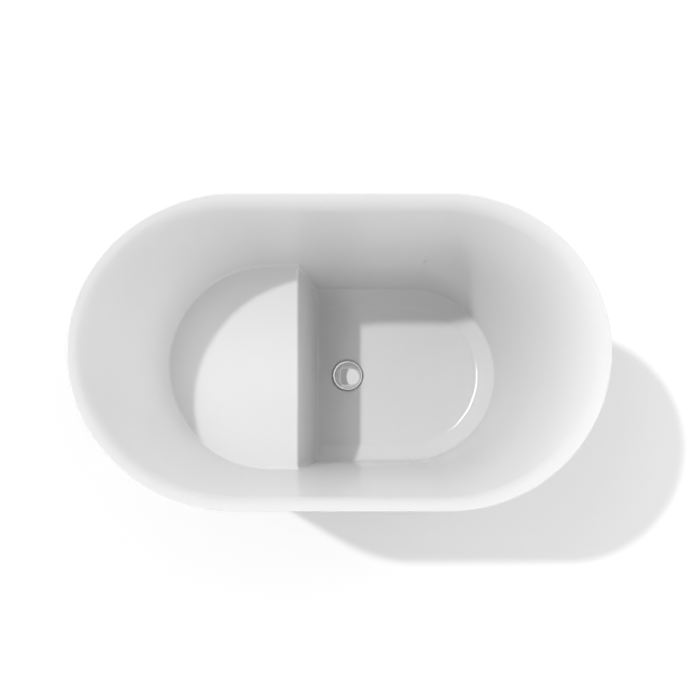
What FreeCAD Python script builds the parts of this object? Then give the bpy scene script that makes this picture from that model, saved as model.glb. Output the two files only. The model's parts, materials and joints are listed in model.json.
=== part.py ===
import FreeCAD, Part
import math
import os
from collections import namedtuple

# Free-standing sit-in bathtub: an acrylic basin with a moulded seat, bonded into a tapered skirt,
# carried by a steel frame on levelling feet, with a lift-and-press waste in the foot well.
# Millimetres. Origin on the floor under the middle of the rim, +X to the foot end, +Z up.

Vector = FreeCAD.Vector

# Overall size
LENGTH = 1200.0
WIDTH = 700.0
HEIGHT = 600.0

# Basin: height of the well floor over the ground, depth of the seat as a share of the well's, and its wall
FLOOR_RISE = 95.0
SEAT_DEPTH_SHARE = 0.5545
SHELL_WALL = 6.0

# Rim: a lip that falls inwards at a tilt and rolls over, a small rounded edge outside and a turned-down return
LIP_RADIUS = 56.0
LIP_ANGLE = 28.0
LIP_LAND = 3.0
RIM_EDGE_RADIUS = 3.0
RIM_RETURN = 28.0

# Each wall stands in from the rim by an inset at seat depth, and leans out more at the lip by a bow
SIDE_INSET = 85.0
SIDE_BOW = 1.31
SEAT_END_INSET = 151.0
SEAT_END_BOW = 1.18
FOOT_END_INSET = 126.0
FOOT_END_BOW = 1.31

# Each rounded end is half an ellipse: its reach at the rim, and how far its centre draws in by seat depth
SEAT_END_REACH = 372.0
SEAT_END_DRAW = 44.0
FOOT_END_REACH = 357.0
FOOT_END_DRAW = 32.0

# Seat and foot well
SEAT_SHARE = 0.281
FRONT_RUN = 40.0
SEAT_EDGE_RADIUS = 7.0
SEAT_CORNER_RADIUS = 8.0
FRONT_CORNER_RADIUS = 7.0

# Sloping band between the well's walls and its floor, with a crease at its top and its foot
BAND_RUN = 49.0
BAND_DROP = 23.0
BAND_TOP_RADIUS = 10.0
BAND_FOOT_RADIUS = 25.0

# Skirt: how far its foot stands in from the rim, and the share of that reached at half height
SKIRT_WALL = 5.0
SKIRT_GAP = 6.0
SKIRT_SIDE_INSET = 60.0
SKIRT_END_INSET = 75.0
SKIRT_BELLY = 0.36
SKIRT_SHELF = 5.0
SKIRT_BAND = 13.0
SEAM_GAP = 1.0
BOND_WIDTH = 1.0
BOND_HEIGHT = 10.0

# Reinforcing boards under the seat and the well floor
BOARD = 12.0
BOARD_MARGIN = 8.0

# Frame of square steel tube
TUBE = 30.0
TUBE_WALL = 2.0
RAIL_INSET = 18.0
RAIL_END_CLEARANCE = 125.0
END_CROSS_SETBACK = 30.0
WELL_CROSS_OFFSET = 124.0

# Seat posts standing on the rails
POST = 25.0
POST_PLATE = 60.0
POST_PLATE_THICKNESS = 4.0
POST_SETBACK = 38.0
POST_SPACING = 150.0

# Levelling feet
FOOT_SETBACK = 60.0
STUD_RADIUS = 6.0
STUD_CLEARANCE = 0.05
STUD_SOCKET = 6.0
STUD_TOP_GAP = 7.0
COLLAR_HEIGHT = 7.0
NUT_FLATS = 19.0
NUT_HEIGHT = 7.0
BUSH_RADIUS = 10.0
BUSH_HEIGHT = 23.0
BUSH_FLANGE_RADIUS = 13.0
BUSH_FLANGE = 2.0
PAD_RADIUS = 25.0
PAD_NECK_RADIUS = 12.0
PAD_SOLE = 5.0
PAD_HEIGHT = 12.0

# Skirt brackets, their bolts and the board screws
BRACKET_WIDTH = 40.0
BRACKET_SHEET = 3.0
BRACKET_PITCH = 200.0
BOLT_RADIUS = 3.0
BOLT_CLEARANCE = 0.2
BOLT_FLATS = 10.0
BOLT_HEAD = 4.0
SCREW_BITE = 8.0
SCREWS_PER_RAIL = 3
SCREW_START = 10.0
SCREW_SETBACK = 114.0
PLATE_SCREW_RADIUS = 2.25
PLATE_SCREW_HEAD_RADIUS = 4.5
PLATE_SCREW_HEAD = 3.0
PLATE_SCREW_OFFSET = 20.0

# Waste: its place ahead of the seat front, its recess in the well floor and its fixed pieces
DRAIN_SETBACK = 88.0
RECESS_RADIUS = 47.5
RECESS_DEPTH = 4.0
DRAIN_HOLE_RADIUS = 25.0
BOARD_HOLE_CLEARANCE = 3.0
TOP_WASHER = 1.5
TOP_WASHER_RADIUS = 40.0
FLANGE_RADIUS = 43.0
FLANGE = 3.0
BODY_RADIUS = 24.0
BODY_BORE = 20.5
BODY_DROP = 52.5
VALVE_CHAMFER = 4.0
THREAD_CLEARANCE = 0.1
LOWER_WASHER = 3.0
LOWER_WASHER_RADIUS = 36.0
BACK_NUT_FLATS = 68.0
BACK_NUT = 10.0
SPIDER_ARM = 4.0
SPIDER_HEIGHT = 10.0
SPIDER_DROP = 22.5
SPIDER_BOSS_RADIUS = 10.0
SPIDER_ARMS = 3
TAIL_RADIUS = 20.0
TAIL_BORE = 17.5
TAIL_SPIGOT_RADIUS = 19.5
TAIL_SHOULDER_GAP = 0.5
TAIL_INSERT = 8.0
TAIL_END_Z = 12.0
TAIL_SEAL = 4.0
TAIL_NUT_FLATS = 58.0
TAIL_NUT_LIP = 3.0
TAIL_NUT_THREAD = 10.0

# Waste: the cap that lifts, with its seal, stem, sleeve and spring
CAP_RADIUS = 42.5
CAP_GAP = 0.5
CAP_LIFT = 9.0
CAP_LAND_RADIUS = 26.0
CAP_SKIN = 3.0
BEAD_WIDTH = 4.5
DOME_RISE = 9.0
SEAL_CLEARANCE = 0.3
SEAL_HEIGHT = 3.5
STEM_RADIUS = 4.0
STEM_CLEARANCE = 0.05
STEM_FLANGE_RADIUS = 10.0
STEM_FLANGE = 2.0
STEM_THREAD = 6.0
STEM_ENGAGED = 9.0
SLEEVE_RADIUS = 7.0
SLEEVE_FLOOR = 4.0
SLEEVE_TOP_GAP = 2.5
SPRING_LENGTH = 22.0
SPRING_WIRE_RADIUS = 0.45
SPRING_RADIUS = 3.2
SPRING_TURNS = 9
SPRING_CLEARANCE = 0.3

# Lofting: angles of the lip from its edge down to the wall, and levels down the wall
LIP_ANGLES = (LIP_ANGLE, 40.0, 50.0, 60.0)
WALL_LEVELS = 5

# How far cutting blocks reach past what they cut
BEYOND = 100.0

# Levels that follow from the sizes above
FLOOR_Z = FLOOR_RISE
WELL_DEPTH = HEIGHT - FLOOR_Z
SEAT_DEPTH = WELL_DEPTH * SEAT_DEPTH_SHARE
SEAT_Z = HEIGHT - SEAT_DEPTH
BOARD_TOP_Z = FLOOR_Z - SHELL_WALL
FRAME_TOP_Z = BOARD_TOP_Z - BOARD
FRAME_LOW_Z = FRAME_TOP_Z - TUBE
SEAT_BOARD_TOP_Z = SEAT_Z - SHELL_WALL
SEAT_BOARD_LOW_Z = SEAT_BOARD_TOP_Z - BOARD
RECESS_Z = FLOOR_Z - RECESS_DEPTH
RECESS_LOW_Z = RECESS_Z - SHELL_WALL
FLANGE_LOW_Z = RECESS_Z + TOP_WASHER
FLANGE_TOP_Z = FLANGE_LOW_Z + FLANGE
BODY_LOW_Z = FLANGE_LOW_Z - BODY_DROP
CAP_LOW_Z = FLANGE_TOP_Z + CAP_GAP
SPIDER_TOP_Z = FLANGE_LOW_Z - SPIDER_DROP
STEM_FLANGE_LOW_Z = CAP_LOW_Z - SEAL_HEIGHT - STEM_FLANGE
SLEEVE_TOP_Z = STEM_FLANGE_LOW_Z - SLEEVE_TOP_GAP
STEM_LOW_Z = SLEEVE_TOP_Z - STEM_ENGAGED - CAP_LIFT
SLEEVE_BORE_Z = STEM_LOW_Z - SPRING_LENGTH

# Places along the tub
SEAT_LENGTH = LENGTH * SEAT_SHARE
SEAT_FRONT_X = SEAT_END_INSET - LENGTH / 2 + SEAT_LENGTH
FRONT_FOOT_X = SEAT_FRONT_X + FRONT_RUN
FRONT_SLOPE = FRONT_RUN / (SEAT_Z - FLOOR_Z)
DRAIN_X = FRONT_FOOT_X + DRAIN_SETBACK
WELL_CROSS_X = DRAIN_X + WELL_CROSS_OFFSET
RAIL_HALF = LENGTH / 2 - SKIRT_END_INSET - RAIL_END_CLEARANCE
FOOT_X = RAIL_HALF - FOOT_SETBACK
POST_FRONT_X = SEAT_FRONT_X - POST_SETBACK
POST_REAR_X = POST_FRONT_X - POST_SPACING

# Centre of the lip's roll, measured in and down from the rim
LIP_CENTRE_INSET = LIP_LAND - LIP_RADIUS * math.sin(math.radians(LIP_ANGLE))
LIP_CENTRE_DEPTH = LIP_RADIUS * math.cos(math.radians(LIP_ANGLE))

Wall = namedtuple("Wall", "inset lean")

# A level outline: two half ellipses, each with a centre and a reach, joined by straight sides
Outline = namedtuple("Outline", "seat_centre seat_reach foot_centre foot_reach half_width")


def bowed_wall(inset, bow):
    """Wall with its inset at seat depth and its lean at the lip."""
    slope = (inset - LIP_RADIUS / 2) / (SEAT_DEPTH - LIP_RADIUS / 2)
    return Wall(inset, math.atan(bow * slope))


SIDE = bowed_wall(SIDE_INSET, SIDE_BOW)
SEAT_END = bowed_wall(SEAT_END_INSET, SEAT_END_BOW)
FOOT_END = bowed_wall(FOOT_END_INSET, FOOT_END_BOW)


def wall_inset(depth, wall, thickness):
    """Inset from the rim of the basin's face, or of its back at a thickness, at a depth below the rim."""
    radius = LIP_RADIUS - thickness
    if depth <= LIP_CENTRE_DEPTH - radius * math.sin(wall.lean):
        rise = (LIP_CENTRE_DEPTH - depth) / radius
        return LIP_CENTRE_INSET + radius * math.sqrt(1.0 - rise * rise)
    start_depth = LIP_CENTRE_DEPTH - LIP_RADIUS * math.sin(wall.lean)
    start_inset = LIP_CENTRE_INSET + LIP_RADIUS * math.cos(wall.lean)
    slope = math.tan(wall.lean)
    run = SEAT_DEPTH - start_depth
    bend = (start_inset + slope * run - wall.inset) / run**2
    below = depth - start_depth
    return start_inset + slope * below - bend * below**2 - thickness


def basin_outline(depth, thickness):
    """Level outline of the basin's face or back at a depth below the rim."""
    share = depth / SEAT_DEPTH
    seat_centre = LENGTH / 2 - SEAT_END_REACH - SEAT_END_DRAW * share
    foot_centre = LENGTH / 2 - FOOT_END_REACH - FOOT_END_DRAW * share
    return Outline(
        seat_centre,
        LENGTH / 2 - wall_inset(depth, SEAT_END, thickness) - seat_centre,
        foot_centre,
        LENGTH / 2 - wall_inset(depth, FOOT_END, thickness) - foot_centre,
        WIDTH / 2 - wall_inset(depth, SIDE, thickness),
    )


def rim_outline(side_inset, end_inset):
    """Outline of the rim's outer edge, drawn in at its sides and its ends."""
    return Outline(
        LENGTH / 2 - SEAT_END_REACH,
        SEAT_END_REACH - end_inset,
        LENGTH / 2 - FOOT_END_REACH,
        FOOT_END_REACH - end_inset,
        WIDTH / 2 - side_inset,
    )


def drawn_in(outline, distance):
    """Outline moved inwards all round."""
    return outline._replace(
        seat_reach=outline.seat_reach - distance,
        foot_reach=outline.foot_reach - distance,
        half_width=outline.half_width - distance,
    )


def half_ellipse(centre, reach, half_width, z, start):
    """Half an ellipse about a point on the long axis, as one edge."""
    unit = Part.Circle(Vector(0, 0, 0), Vector(0, 0, 1), 1.0)
    curve = Part.ArcOfCircle(unit, start, start + math.pi).toBSpline()
    for index in range(1, curve.NbPoles + 1):
        pole = curve.getPole(index)
        curve.setPole(index, Vector(centre + reach * pole.x, half_width * pole.y, z), curve.getWeight(index))
    return curve.toShape()


def outline_wire(outline, z):
    """Closed wire of an outline at a height."""
    wide = outline.half_width
    foot = half_ellipse(outline.foot_centre, outline.foot_reach, wide, z, -math.pi / 2)
    seat = half_ellipse(-outline.seat_centre, outline.seat_reach, wide, z, math.pi / 2)
    far = Part.makeLine(Vector(outline.foot_centre, wide, z), Vector(-outline.seat_centre, wide, z))
    near = Part.makeLine(Vector(-outline.seat_centre, -wide, z), Vector(outline.foot_centre, -wide, z))
    return Part.Wire([foot, far, seat, near])


def prism(outline, low, high):
    """Upright solid on an outline."""
    return Part.Face(outline_wire(outline, low)).extrude(Vector(0, 0, high - low))


def block(low_x, high_x, low_y, high_y, low_z, high_z):
    """Box between two corners."""
    return Part.makeBox(high_x - low_x, high_y - low_y, high_z - low_z, Vector(low_x, low_y, low_z))


def rod(radius, low, high, x, y):
    """Upright cylinder."""
    return Part.makeCylinder(radius, high - low, Vector(x, y, low))


def ring(outer, inner, low, high, x, y):
    """Upright cylinder with a bore."""
    return rod(outer, low, high, x, y).cut(rod(inner, low, high, x, y))


def hexagon(flats, low, high, x, y):
    """Upright hexagonal prism, sized across its flats."""
    radius = flats / 2 / math.cos(math.pi / 6)
    corners = [
        Vector(x + radius * math.cos(math.pi * k / 3), y + radius * math.sin(math.pi * k / 3), low)
        for k in range(7)
    ]
    return Part.Face(Part.makePolygon(corners)).extrude(Vector(0, 0, high - low))


def turned(edges, x, y):
    """Solid turned about an upright axis from edges drawn in the radius and height plane."""
    solid = Part.Face(Part.Wire(edges)).revolve(Vector(0, 0, 0), Vector(0, 0, 1), 360)
    solid.translate(Vector(x, y, 0))
    return solid


def lines(points):
    """Straight edges through points given as radius and height."""
    corners = [Vector(radius, 0, z) for radius, z in points]
    return [Part.makeLine(a, b) for a, b in zip(corners, corners[1:])]


def arc(first, middle, last):
    """Arc through three points given as radius and height."""
    a, b, c = (Vector(radius, 0, z) for radius, z in (first, middle, last))
    return Part.Arc(a, b, c).toShape()


def level_edges(solid, z):
    """Edges of a solid that lie at one height."""
    near = 0.01
    return [e for e in solid.Edges if abs(e.BoundBox.ZMin - z) < near and e.BoundBox.ZLength < near]


def front_x(z):
    """Place of the seat's front face at a height."""
    return SEAT_FRONT_X + (SEAT_Z - z) * FRONT_SLOPE


def lies_on_front(edge):
    """Whether an edge lies in the plane of the seat's front face."""
    near = 0.05
    span = edge.LastParameter - edge.FirstParameter
    points = [edge.valueAt(edge.FirstParameter + span * share) for share in (0.0, 0.5, 1.0)]
    return all(abs(p.x - front_x(p.z)) < near for p in points)


def basin_form(thickness):
    """Basin without its seat, from the well floor to the rim, grown by a thickness."""
    radius = LIP_RADIUS - thickness
    tilts = LIP_ANGLES[1:] if thickness else LIP_ANGLES
    depths = [LIP_CENTRE_DEPTH - radius * math.cos(math.radians(tilt)) for tilt in tilts]
    depths.append(LIP_CENTRE_DEPTH - radius * math.sin(SIDE.lean))
    lip = Part.makeLoft([outline_wire(basin_outline(d, thickness), HEIGHT - d) for d in depths], True, False)
    mouth_high = HEIGHT - thickness / 2 if thickness else HEIGHT + BEYOND
    mouth = prism(basin_outline(depths[0], thickness), HEIGHT - depths[0], mouth_high)
    band_depth = WELL_DEPTH - BAND_DROP + thickness
    step = (band_depth - depths[-1]) / WALL_LEVELS
    levels = [depths[-1] + step * k for k in range(WALL_LEVELS + 1)]
    walls = Part.makeLoft([outline_wire(basin_outline(d, thickness), HEIGHT - d) for d in levels], True, False)
    floor_depth = WELL_DEPTH + thickness
    band_top = basin_outline(band_depth, thickness)
    band_foot = drawn_in(band_top, BAND_RUN)
    rings = [outline_wire(band_top, HEIGHT - band_depth), outline_wire(band_foot, HEIGHT - floor_depth)]
    cup = walls.fuse(Part.makeLoft(rings, True, True))
    cup = cup.makeFillet(BAND_FOOT_RADIUS + thickness, level_edges(cup, HEIGHT - floor_depth))
    cup = cup.makeFillet(BAND_TOP_RADIUS + thickness, level_edges(cup, HEIGHT - band_depth))
    return cup.fuse([lip, mouth])


def behind_front(setback, top):
    """Everything behind the seat's front face, set back by a wall, up to a height."""
    lean = math.hypot(1.0, FRONT_SLOPE) * setback
    low = -BEYOND
    rear = -LENGTH / 2 - BEYOND
    side = WIDTH / 2 + BEYOND
    corners = [
        Vector(rear, -side, low),
        Vector(rear, -side, top),
        Vector(front_x(top) - lean, -side, top),
        Vector(front_x(low) - lean, -side, low),
    ]
    return Part.Face(Part.makePolygon(corners + corners[:1])).extrude(Vector(0, 2 * side, 0))


def seat_edge_rounding():
    """What the rounding of the seat's front edge takes off its corner."""
    sharp = behind_front(0.0, SEAT_Z)
    top_edges = [e for e in level_edges(sharp, SEAT_Z) if lies_on_front(e)]
    return sharp.cut(sharp.makeFillet(SEAT_EDGE_RADIUS, top_edges))


def bathing_space():
    """The hollow of the basin: the space over the seat joined to the foot well."""
    whole = basin_form(0.0)
    reach = LENGTH / 2 + BEYOND
    side = WIDTH / 2 + BEYOND
    over = whole.common(block(-reach, reach, -side, side, SEAT_Z, HEIGHT + BEYOND))
    over = over.makeFillet(SEAT_CORNER_RADIUS, level_edges(over, SEAT_Z))
    well_top = SEAT_Z + BEYOND / 2
    well = whole.common(block(-reach, reach, -side, side, FLOOR_Z, well_top))
    well = well.cut(behind_front(0.0, HEIGHT + BEYOND))
    corner_edges = [e for e in well.Edges if lies_on_front(e) and e.BoundBox.ZMin < SEAT_Z]
    well = well.makeFillet(FRONT_CORNER_RADIUS, corner_edges)
    recess = rod(RECESS_RADIUS, RECESS_Z, FLOOR_Z + SHELL_WALL, DRAIN_X, 0.0)
    return over.fuse([well, seat_edge_rounding().common(whole), recess]).removeSplitter()


def make_inner_shell():
    """Basin moulding: walls, seat, well floor with the waste recess, flared lip and turned-down return."""
    back = basin_form(SHELL_WALL).cut(behind_front(SHELL_WALL, SEAT_Z - SHELL_WALL))
    boss = rod(RECESS_RADIUS + SHELL_WALL, RECESS_LOW_Z, FLOOR_Z, DRAIN_X, 0.0)
    low = HEIGHT - RIM_RETURN
    rim = prism(rim_outline(0.0, 0.0), low, HEIGHT)
    rim = rim.makeFillet(RIM_EDGE_RADIUS, level_edges(rim, HEIGHT))
    rim = rim.cut(prism(rim_outline(SHELL_WALL, SHELL_WALL), low, HEIGHT - SHELL_WALL))
    hole = rod(DRAIN_HOLE_RADIUS, RECESS_LOW_Z, FLOOR_Z, DRAIN_X, 0.0)
    return rim.fuse([back, boss]).cut(bathing_space()).cut(hole)


def skirt_form(setback, low, high):
    """Tapered, gently bellied form of the skirt's outside, drawn in by a setback."""
    sections = []
    for share, taper in ((0.0, 0.0), (0.5, SKIRT_BELLY), (1.0, 1.0)):
        side_inset = setback + SKIRT_SIDE_INSET * taper
        end_inset = setback + SKIRT_END_INSET * taper
        sections.append(outline_wire(rim_outline(side_inset, end_inset), high + (low - high) * share))
    return Part.makeLoft(sections, True, False)


def skirt_hollow(setback):
    """Space inside the skirt's wall, drawn in by a setback, from its foot to its shelf."""
    return skirt_form(SKIRT_WALL + setback, SKIRT_GAP, HEIGHT - RIM_RETURN - SEAM_GAP)


def make_outer_skirt():
    """Skirt moulding, with a shelf and a band at its top that tuck inside the rim's return."""
    top = HEIGHT - RIM_RETURN - SEAM_GAP
    wall = skirt_form(0.0, SKIRT_GAP, top).cut(skirt_hollow(0.0))
    band_outer = SHELL_WALL + BOND_WIDTH
    band_inner = band_outer + SKIRT_WALL
    within = prism(rim_outline(band_inner, band_inner), top - SKIRT_SHELF, top + SKIRT_BAND)
    shelf = prism(rim_outline(SKIRT_WALL / 2, SKIRT_WALL / 2), top - SKIRT_SHELF, top)
    band = prism(rim_outline(band_outer, band_outer), top - SKIRT_SHELF, top + SKIRT_BAND)
    return wall.fuse([shelf.fuse(band).cut(within)])


def make_rim_bond():
    """Adhesive bead between the rim's return and the skirt's band."""
    high = HEIGHT - RIM_RETURN - SEAM_GAP + SKIRT_BAND
    outer = prism(rim_outline(SHELL_WALL, SHELL_WALL), high - BOND_HEIGHT, high)
    inner = SHELL_WALL + BOND_WIDTH
    return outer.cut(prism(rim_outline(inner, inner), high - BOND_HEIGHT, high))


def well_flat():
    """Outline of the flat part of the well floor."""
    crease = BAND_FOOT_RADIUS * math.tan(math.atan2(BAND_DROP, BAND_RUN) / 2)
    return drawn_in(basin_outline(WELL_DEPTH - BAND_DROP, 0.0), BAND_RUN + crease)


RAIL_Y = well_flat().half_width - RAIL_INSET


def make_floor_board():
    """Reinforcing board under the flat of the well floor, open round the waste."""
    outline = drawn_in(well_flat(), BOARD_MARGIN)
    rear = FRONT_FOOT_X + BOARD_MARGIN
    front = outline.foot_centre + outline.foot_reach
    side = outline.half_width
    board = prism(outline, FRAME_TOP_Z, BOARD_TOP_Z)
    board = board.common(block(rear, front, -side, side, FRAME_TOP_Z, BOARD_TOP_Z))
    opening = RECESS_RADIUS + SHELL_WALL + BOARD_HOLE_CLEARANCE
    board = board.cut(rod(opening, FRAME_TOP_Z, BOARD_TOP_Z, DRAIN_X, 0.0))
    for x, y in board_screw_places():
        board = board.cut(rod(BOLT_RADIUS, FRAME_TOP_Z, FRAME_TOP_Z + SCREW_BITE, x, y))
    return board


def make_seat_board():
    """Reinforcing board under the seat."""
    outline = drawn_in(basin_outline(SEAT_DEPTH, 0.0), 2 * BOARD_MARGIN)
    front = front_x(SEAT_BOARD_TOP_Z) - math.hypot(1.0, FRONT_SLOPE) * SHELL_WALL - BOARD_MARGIN
    rear = -outline.seat_centre - outline.seat_reach
    side = outline.half_width
    board = prism(outline, SEAT_BOARD_LOW_Z, SEAT_BOARD_TOP_Z)
    board = board.common(block(rear, front, -side, side, SEAT_BOARD_LOW_Z, SEAT_BOARD_TOP_Z))
    for x, y in plate_screw_places():
        board = board.cut(
            rod(PLATE_SCREW_RADIUS, SEAT_BOARD_LOW_Z, SEAT_BOARD_LOW_Z + SCREW_BITE, x, y)
        )
    return board


def post_places():
    """Places of the seat posts on the rails."""
    return [(x, side * RAIL_Y) for x in (POST_REAR_X, POST_FRONT_X) for side in (-1, 1)]


def plate_screw_places():
    """Places of the screws through the post plates, one each side of a post."""
    return [(x + turn * PLATE_SCREW_OFFSET, y) for x, y in post_places() for turn in (-1, 1)]


def board_screw_places():
    """Places of the screws that hold the floor board on the rails."""
    first = DRAIN_X + SCREW_START
    pitch = (RAIL_HALF - SCREW_SETBACK - first) / (SCREWS_PER_RAIL - 1)
    places = [first + pitch * k for k in range(SCREWS_PER_RAIL)]
    return [(x, side * RAIL_Y) for x in places for side in (-1, 1)]


def foot_places():
    """Places of the levelling feet: four on the rails and one under the cross tube of the well."""
    corners = [(x, side * RAIL_Y) for x in (-FOOT_X, FOOT_X) for side in (-1, 1)]
    return corners + [(WELL_CROSS_X, 0.0)]


def bracket_places():
    """Places of the skirt brackets along one side."""
    return [BRACKET_PITCH * k for k in (-1, 0, 1)]


def tube_along_x(low_x, high_x, y):
    """Square tube along the tub at frame height."""
    half = TUBE / 2
    skin = TUBE_WALL
    outside = block(low_x, high_x, y - half, y + half, FRAME_LOW_Z, FRAME_TOP_Z)
    inside = block(
        low_x, high_x, y - half + skin, y + half - skin, FRAME_LOW_Z + skin, FRAME_TOP_Z - skin
    )
    return outside.cut(inside)


def make_rail(side):
    """Long rail of one side, drilled for its feet, board screws and bracket bolts."""
    rail = tube_along_x(-RAIL_HALF, RAIL_HALF, side * RAIL_Y)
    cuts = [
        rod(BUSH_RADIUS, FRAME_LOW_Z, FRAME_LOW_Z + TUBE_WALL, x, y)
        for x, y in foot_places()
        if y * side > 0
    ]
    cuts += [
        rod(BOLT_RADIUS + BOLT_CLEARANCE, FRAME_LOW_Z, FRAME_TOP_Z, x, y)
        for x, y in board_screw_places()
        if y * side > 0
    ]
    cuts += [bolt_hole(x, side) for x in bracket_places()]
    return rail.cut(cuts)


def make_cross(x, has_foot):
    """Cross tube between the rails, drilled where a foot stands under it."""
    half = TUBE / 2
    reach = RAIL_Y - half
    skin = TUBE_WALL
    outside = block(x - half, x + half, -reach, reach, FRAME_LOW_Z, FRAME_TOP_Z)
    inside = block(
        x - half + skin, x + half - skin, -reach, reach, FRAME_LOW_Z + skin, FRAME_TOP_Z - skin
    )
    tube = outside.cut(inside)
    if has_foot:
        tube = tube.cut(rod(BUSH_RADIUS, FRAME_LOW_Z, FRAME_LOW_Z + skin, x, 0.0))
    return tube


def make_post(x, y):
    """Seat post: a square tube with a plate at its top, drilled for two screws."""
    half = POST / 2
    plate_half = POST_PLATE / 2
    plate_low = SEAT_BOARD_LOW_Z - POST_PLATE_THICKNESS
    skin = TUBE_WALL
    outside = block(x - half, x + half, y - half, y + half, FRAME_TOP_Z, plate_low)
    inside = block(x - half + skin, x + half - skin, y - half + skin, y + half - skin, FRAME_TOP_Z, plate_low)
    plate = block(x - plate_half, x + plate_half, y - half, y + half, plate_low, SEAT_BOARD_LOW_Z)
    for turn in (-1, 1):
        hole_x = x + turn * PLATE_SCREW_OFFSET
        plate = plate.cut(rod(PLATE_SCREW_RADIUS, plate_low, SEAT_BOARD_LOW_Z, hole_x, y))
    return outside.cut(inside).fuse(plate)


def make_plate_screws():
    """Round-headed screws through the post plates into the seat board."""
    plate_low = SEAT_BOARD_LOW_Z - POST_PLATE_THICKNESS
    screws = []
    for x, y in plate_screw_places():
        head = rod(PLATE_SCREW_HEAD_RADIUS, plate_low - PLATE_SCREW_HEAD, plate_low, x, y)
        screws.append(head.fuse(rod(PLATE_SCREW_RADIUS, plate_low, SEAT_BOARD_LOW_Z + SCREW_BITE, x, y)))
    return Part.makeCompound(screws)


def make_board_screws():
    """Hexagon-headed screws up through the rails into the floor board."""
    screws = []
    for x, y in board_screw_places():
        head = hexagon(BOLT_FLATS, FRAME_LOW_Z - BOLT_HEAD, FRAME_LOW_Z, x, y)
        screws.append(head.fuse(rod(BOLT_RADIUS, FRAME_LOW_Z, FRAME_TOP_Z + SCREW_BITE, x, y)))
    return Part.makeCompound(screws)


def bolt_hole(x, side):
    """Clearance hole for a bracket bolt, through a bracket and the rail's outer wall."""
    z = FRAME_LOW_Z + TUBE / 2
    start = RAIL_Y + TUBE / 2 - TUBE_WALL
    direction = Vector(0, side, 0)
    length = TUBE_WALL + BRACKET_SHEET
    return Part.makeCylinder(BOLT_RADIUS + BOLT_CLEARANCE, length, Vector(x, side * start, z), direction)


def make_skirt_brackets():
    """Brackets from the rails to the skirt: a plate on the rail, an arm and a pad that fits the skirt."""
    sheet = BRACKET_SHEET
    rail_face = RAIL_Y + TUBE / 2
    hollow = skirt_hollow(0.0)
    pad_form = hollow.cut(skirt_hollow(sheet))
    brackets = []
    for x in bracket_places():
        low_x = x - BRACKET_WIDTH / 2
        high_x = x + BRACKET_WIDTH / 2
        plate = block(low_x, high_x, rail_face, rail_face + sheet, FRAME_LOW_Z, FRAME_TOP_Z)
        reach = block(low_x, high_x, rail_face, WIDTH / 2, FRAME_LOW_Z, FRAME_LOW_Z + sheet)
        pad_zone = block(low_x, high_x, rail_face + sheet, WIDTH / 2, FRAME_LOW_Z, FRAME_TOP_Z)
        bracket = plate.cut(bolt_hole(x, 1)).fuse([reach.common(hollow), pad_zone.common(pad_form)])
        bracket = bracket.removeSplitter()
        brackets.append(bracket)
        brackets.append(bracket.mirror(Vector(0, 0, 0), Vector(0, 1, 0)))
    return Part.makeCompound(brackets)


def make_bracket_bolts():
    """Bolts through the brackets into the rails."""
    z = FRAME_LOW_Z + TUBE / 2
    head_low = RAIL_Y + TUBE / 2 + BRACKET_SHEET
    shank = TUBE_WALL + BRACKET_SHEET
    bolts = []
    for x in bracket_places():
        bolt = hexagon(BOLT_FLATS, 0.0, BOLT_HEAD, 0.0, 0.0).fuse(rod(BOLT_RADIUS, -shank, 0.0, 0.0, 0.0))
        bolt.rotate(Vector(0, 0, 0), Vector(1, 0, 0), -90)
        bolt.translate(Vector(x, head_low, z))
        bolts.append(bolt)
        bolts.append(bolt.mirror(Vector(0, 0, 0), Vector(0, 1, 0)))
    return Part.makeCompound(bolts)


def make_foot_bushes():
    """Threaded bushes welded into the tubes, one over each foot."""
    bore = STUD_RADIUS + STUD_CLEARANCE
    bushes = []
    for x, y in foot_places():
        barrel = ring(BUSH_RADIUS, bore, FRAME_LOW_Z, FRAME_LOW_Z + BUSH_HEIGHT, x, y)
        flange = ring(BUSH_FLANGE_RADIUS, bore, FRAME_LOW_Z - BUSH_FLANGE, FRAME_LOW_Z, x, y)
        bushes.append(barrel.fuse(flange))
    return Part.makeCompound(bushes)


def make_lock_nuts():
    """Lock nuts run up against the bushes."""
    high = FRAME_LOW_Z - BUSH_FLANGE
    bore = STUD_RADIUS + STUD_CLEARANCE
    nuts = []
    for x, y in foot_places():
        nut = hexagon(NUT_FLATS, high - NUT_HEIGHT, high, x, y)
        nuts.append(nut.cut(rod(bore, high - NUT_HEIGHT, high, x, y)))
    return Part.makeCompound(nuts)


def make_foot_stud(x, y):
    """Levelling stud with a hexagon collar for the spanner."""
    top = FRAME_TOP_Z - TUBE_WALL - STUD_TOP_GAP
    collar = hexagon(NUT_FLATS, PAD_HEIGHT, PAD_HEIGHT + COLLAR_HEIGHT, x, y)
    return rod(STUD_RADIUS, PAD_HEIGHT - STUD_SOCKET, top, x, y).fuse(collar)


def make_foot_pad(x, y):
    """Round pad with a flat sole, a sloping top and a socket for the stud."""
    socket = PAD_HEIGHT - STUD_SOCKET
    profile = [
        (0.0, 0.0),
        (PAD_RADIUS, 0.0),
        (PAD_RADIUS, PAD_SOLE),
        (PAD_NECK_RADIUS, PAD_HEIGHT),
        (STUD_RADIUS, PAD_HEIGHT),
        (STUD_RADIUS, socket),
        (0.0, socket),
        (0.0, 0.0),
    ]
    return turned(lines(profile), x, y)


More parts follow.
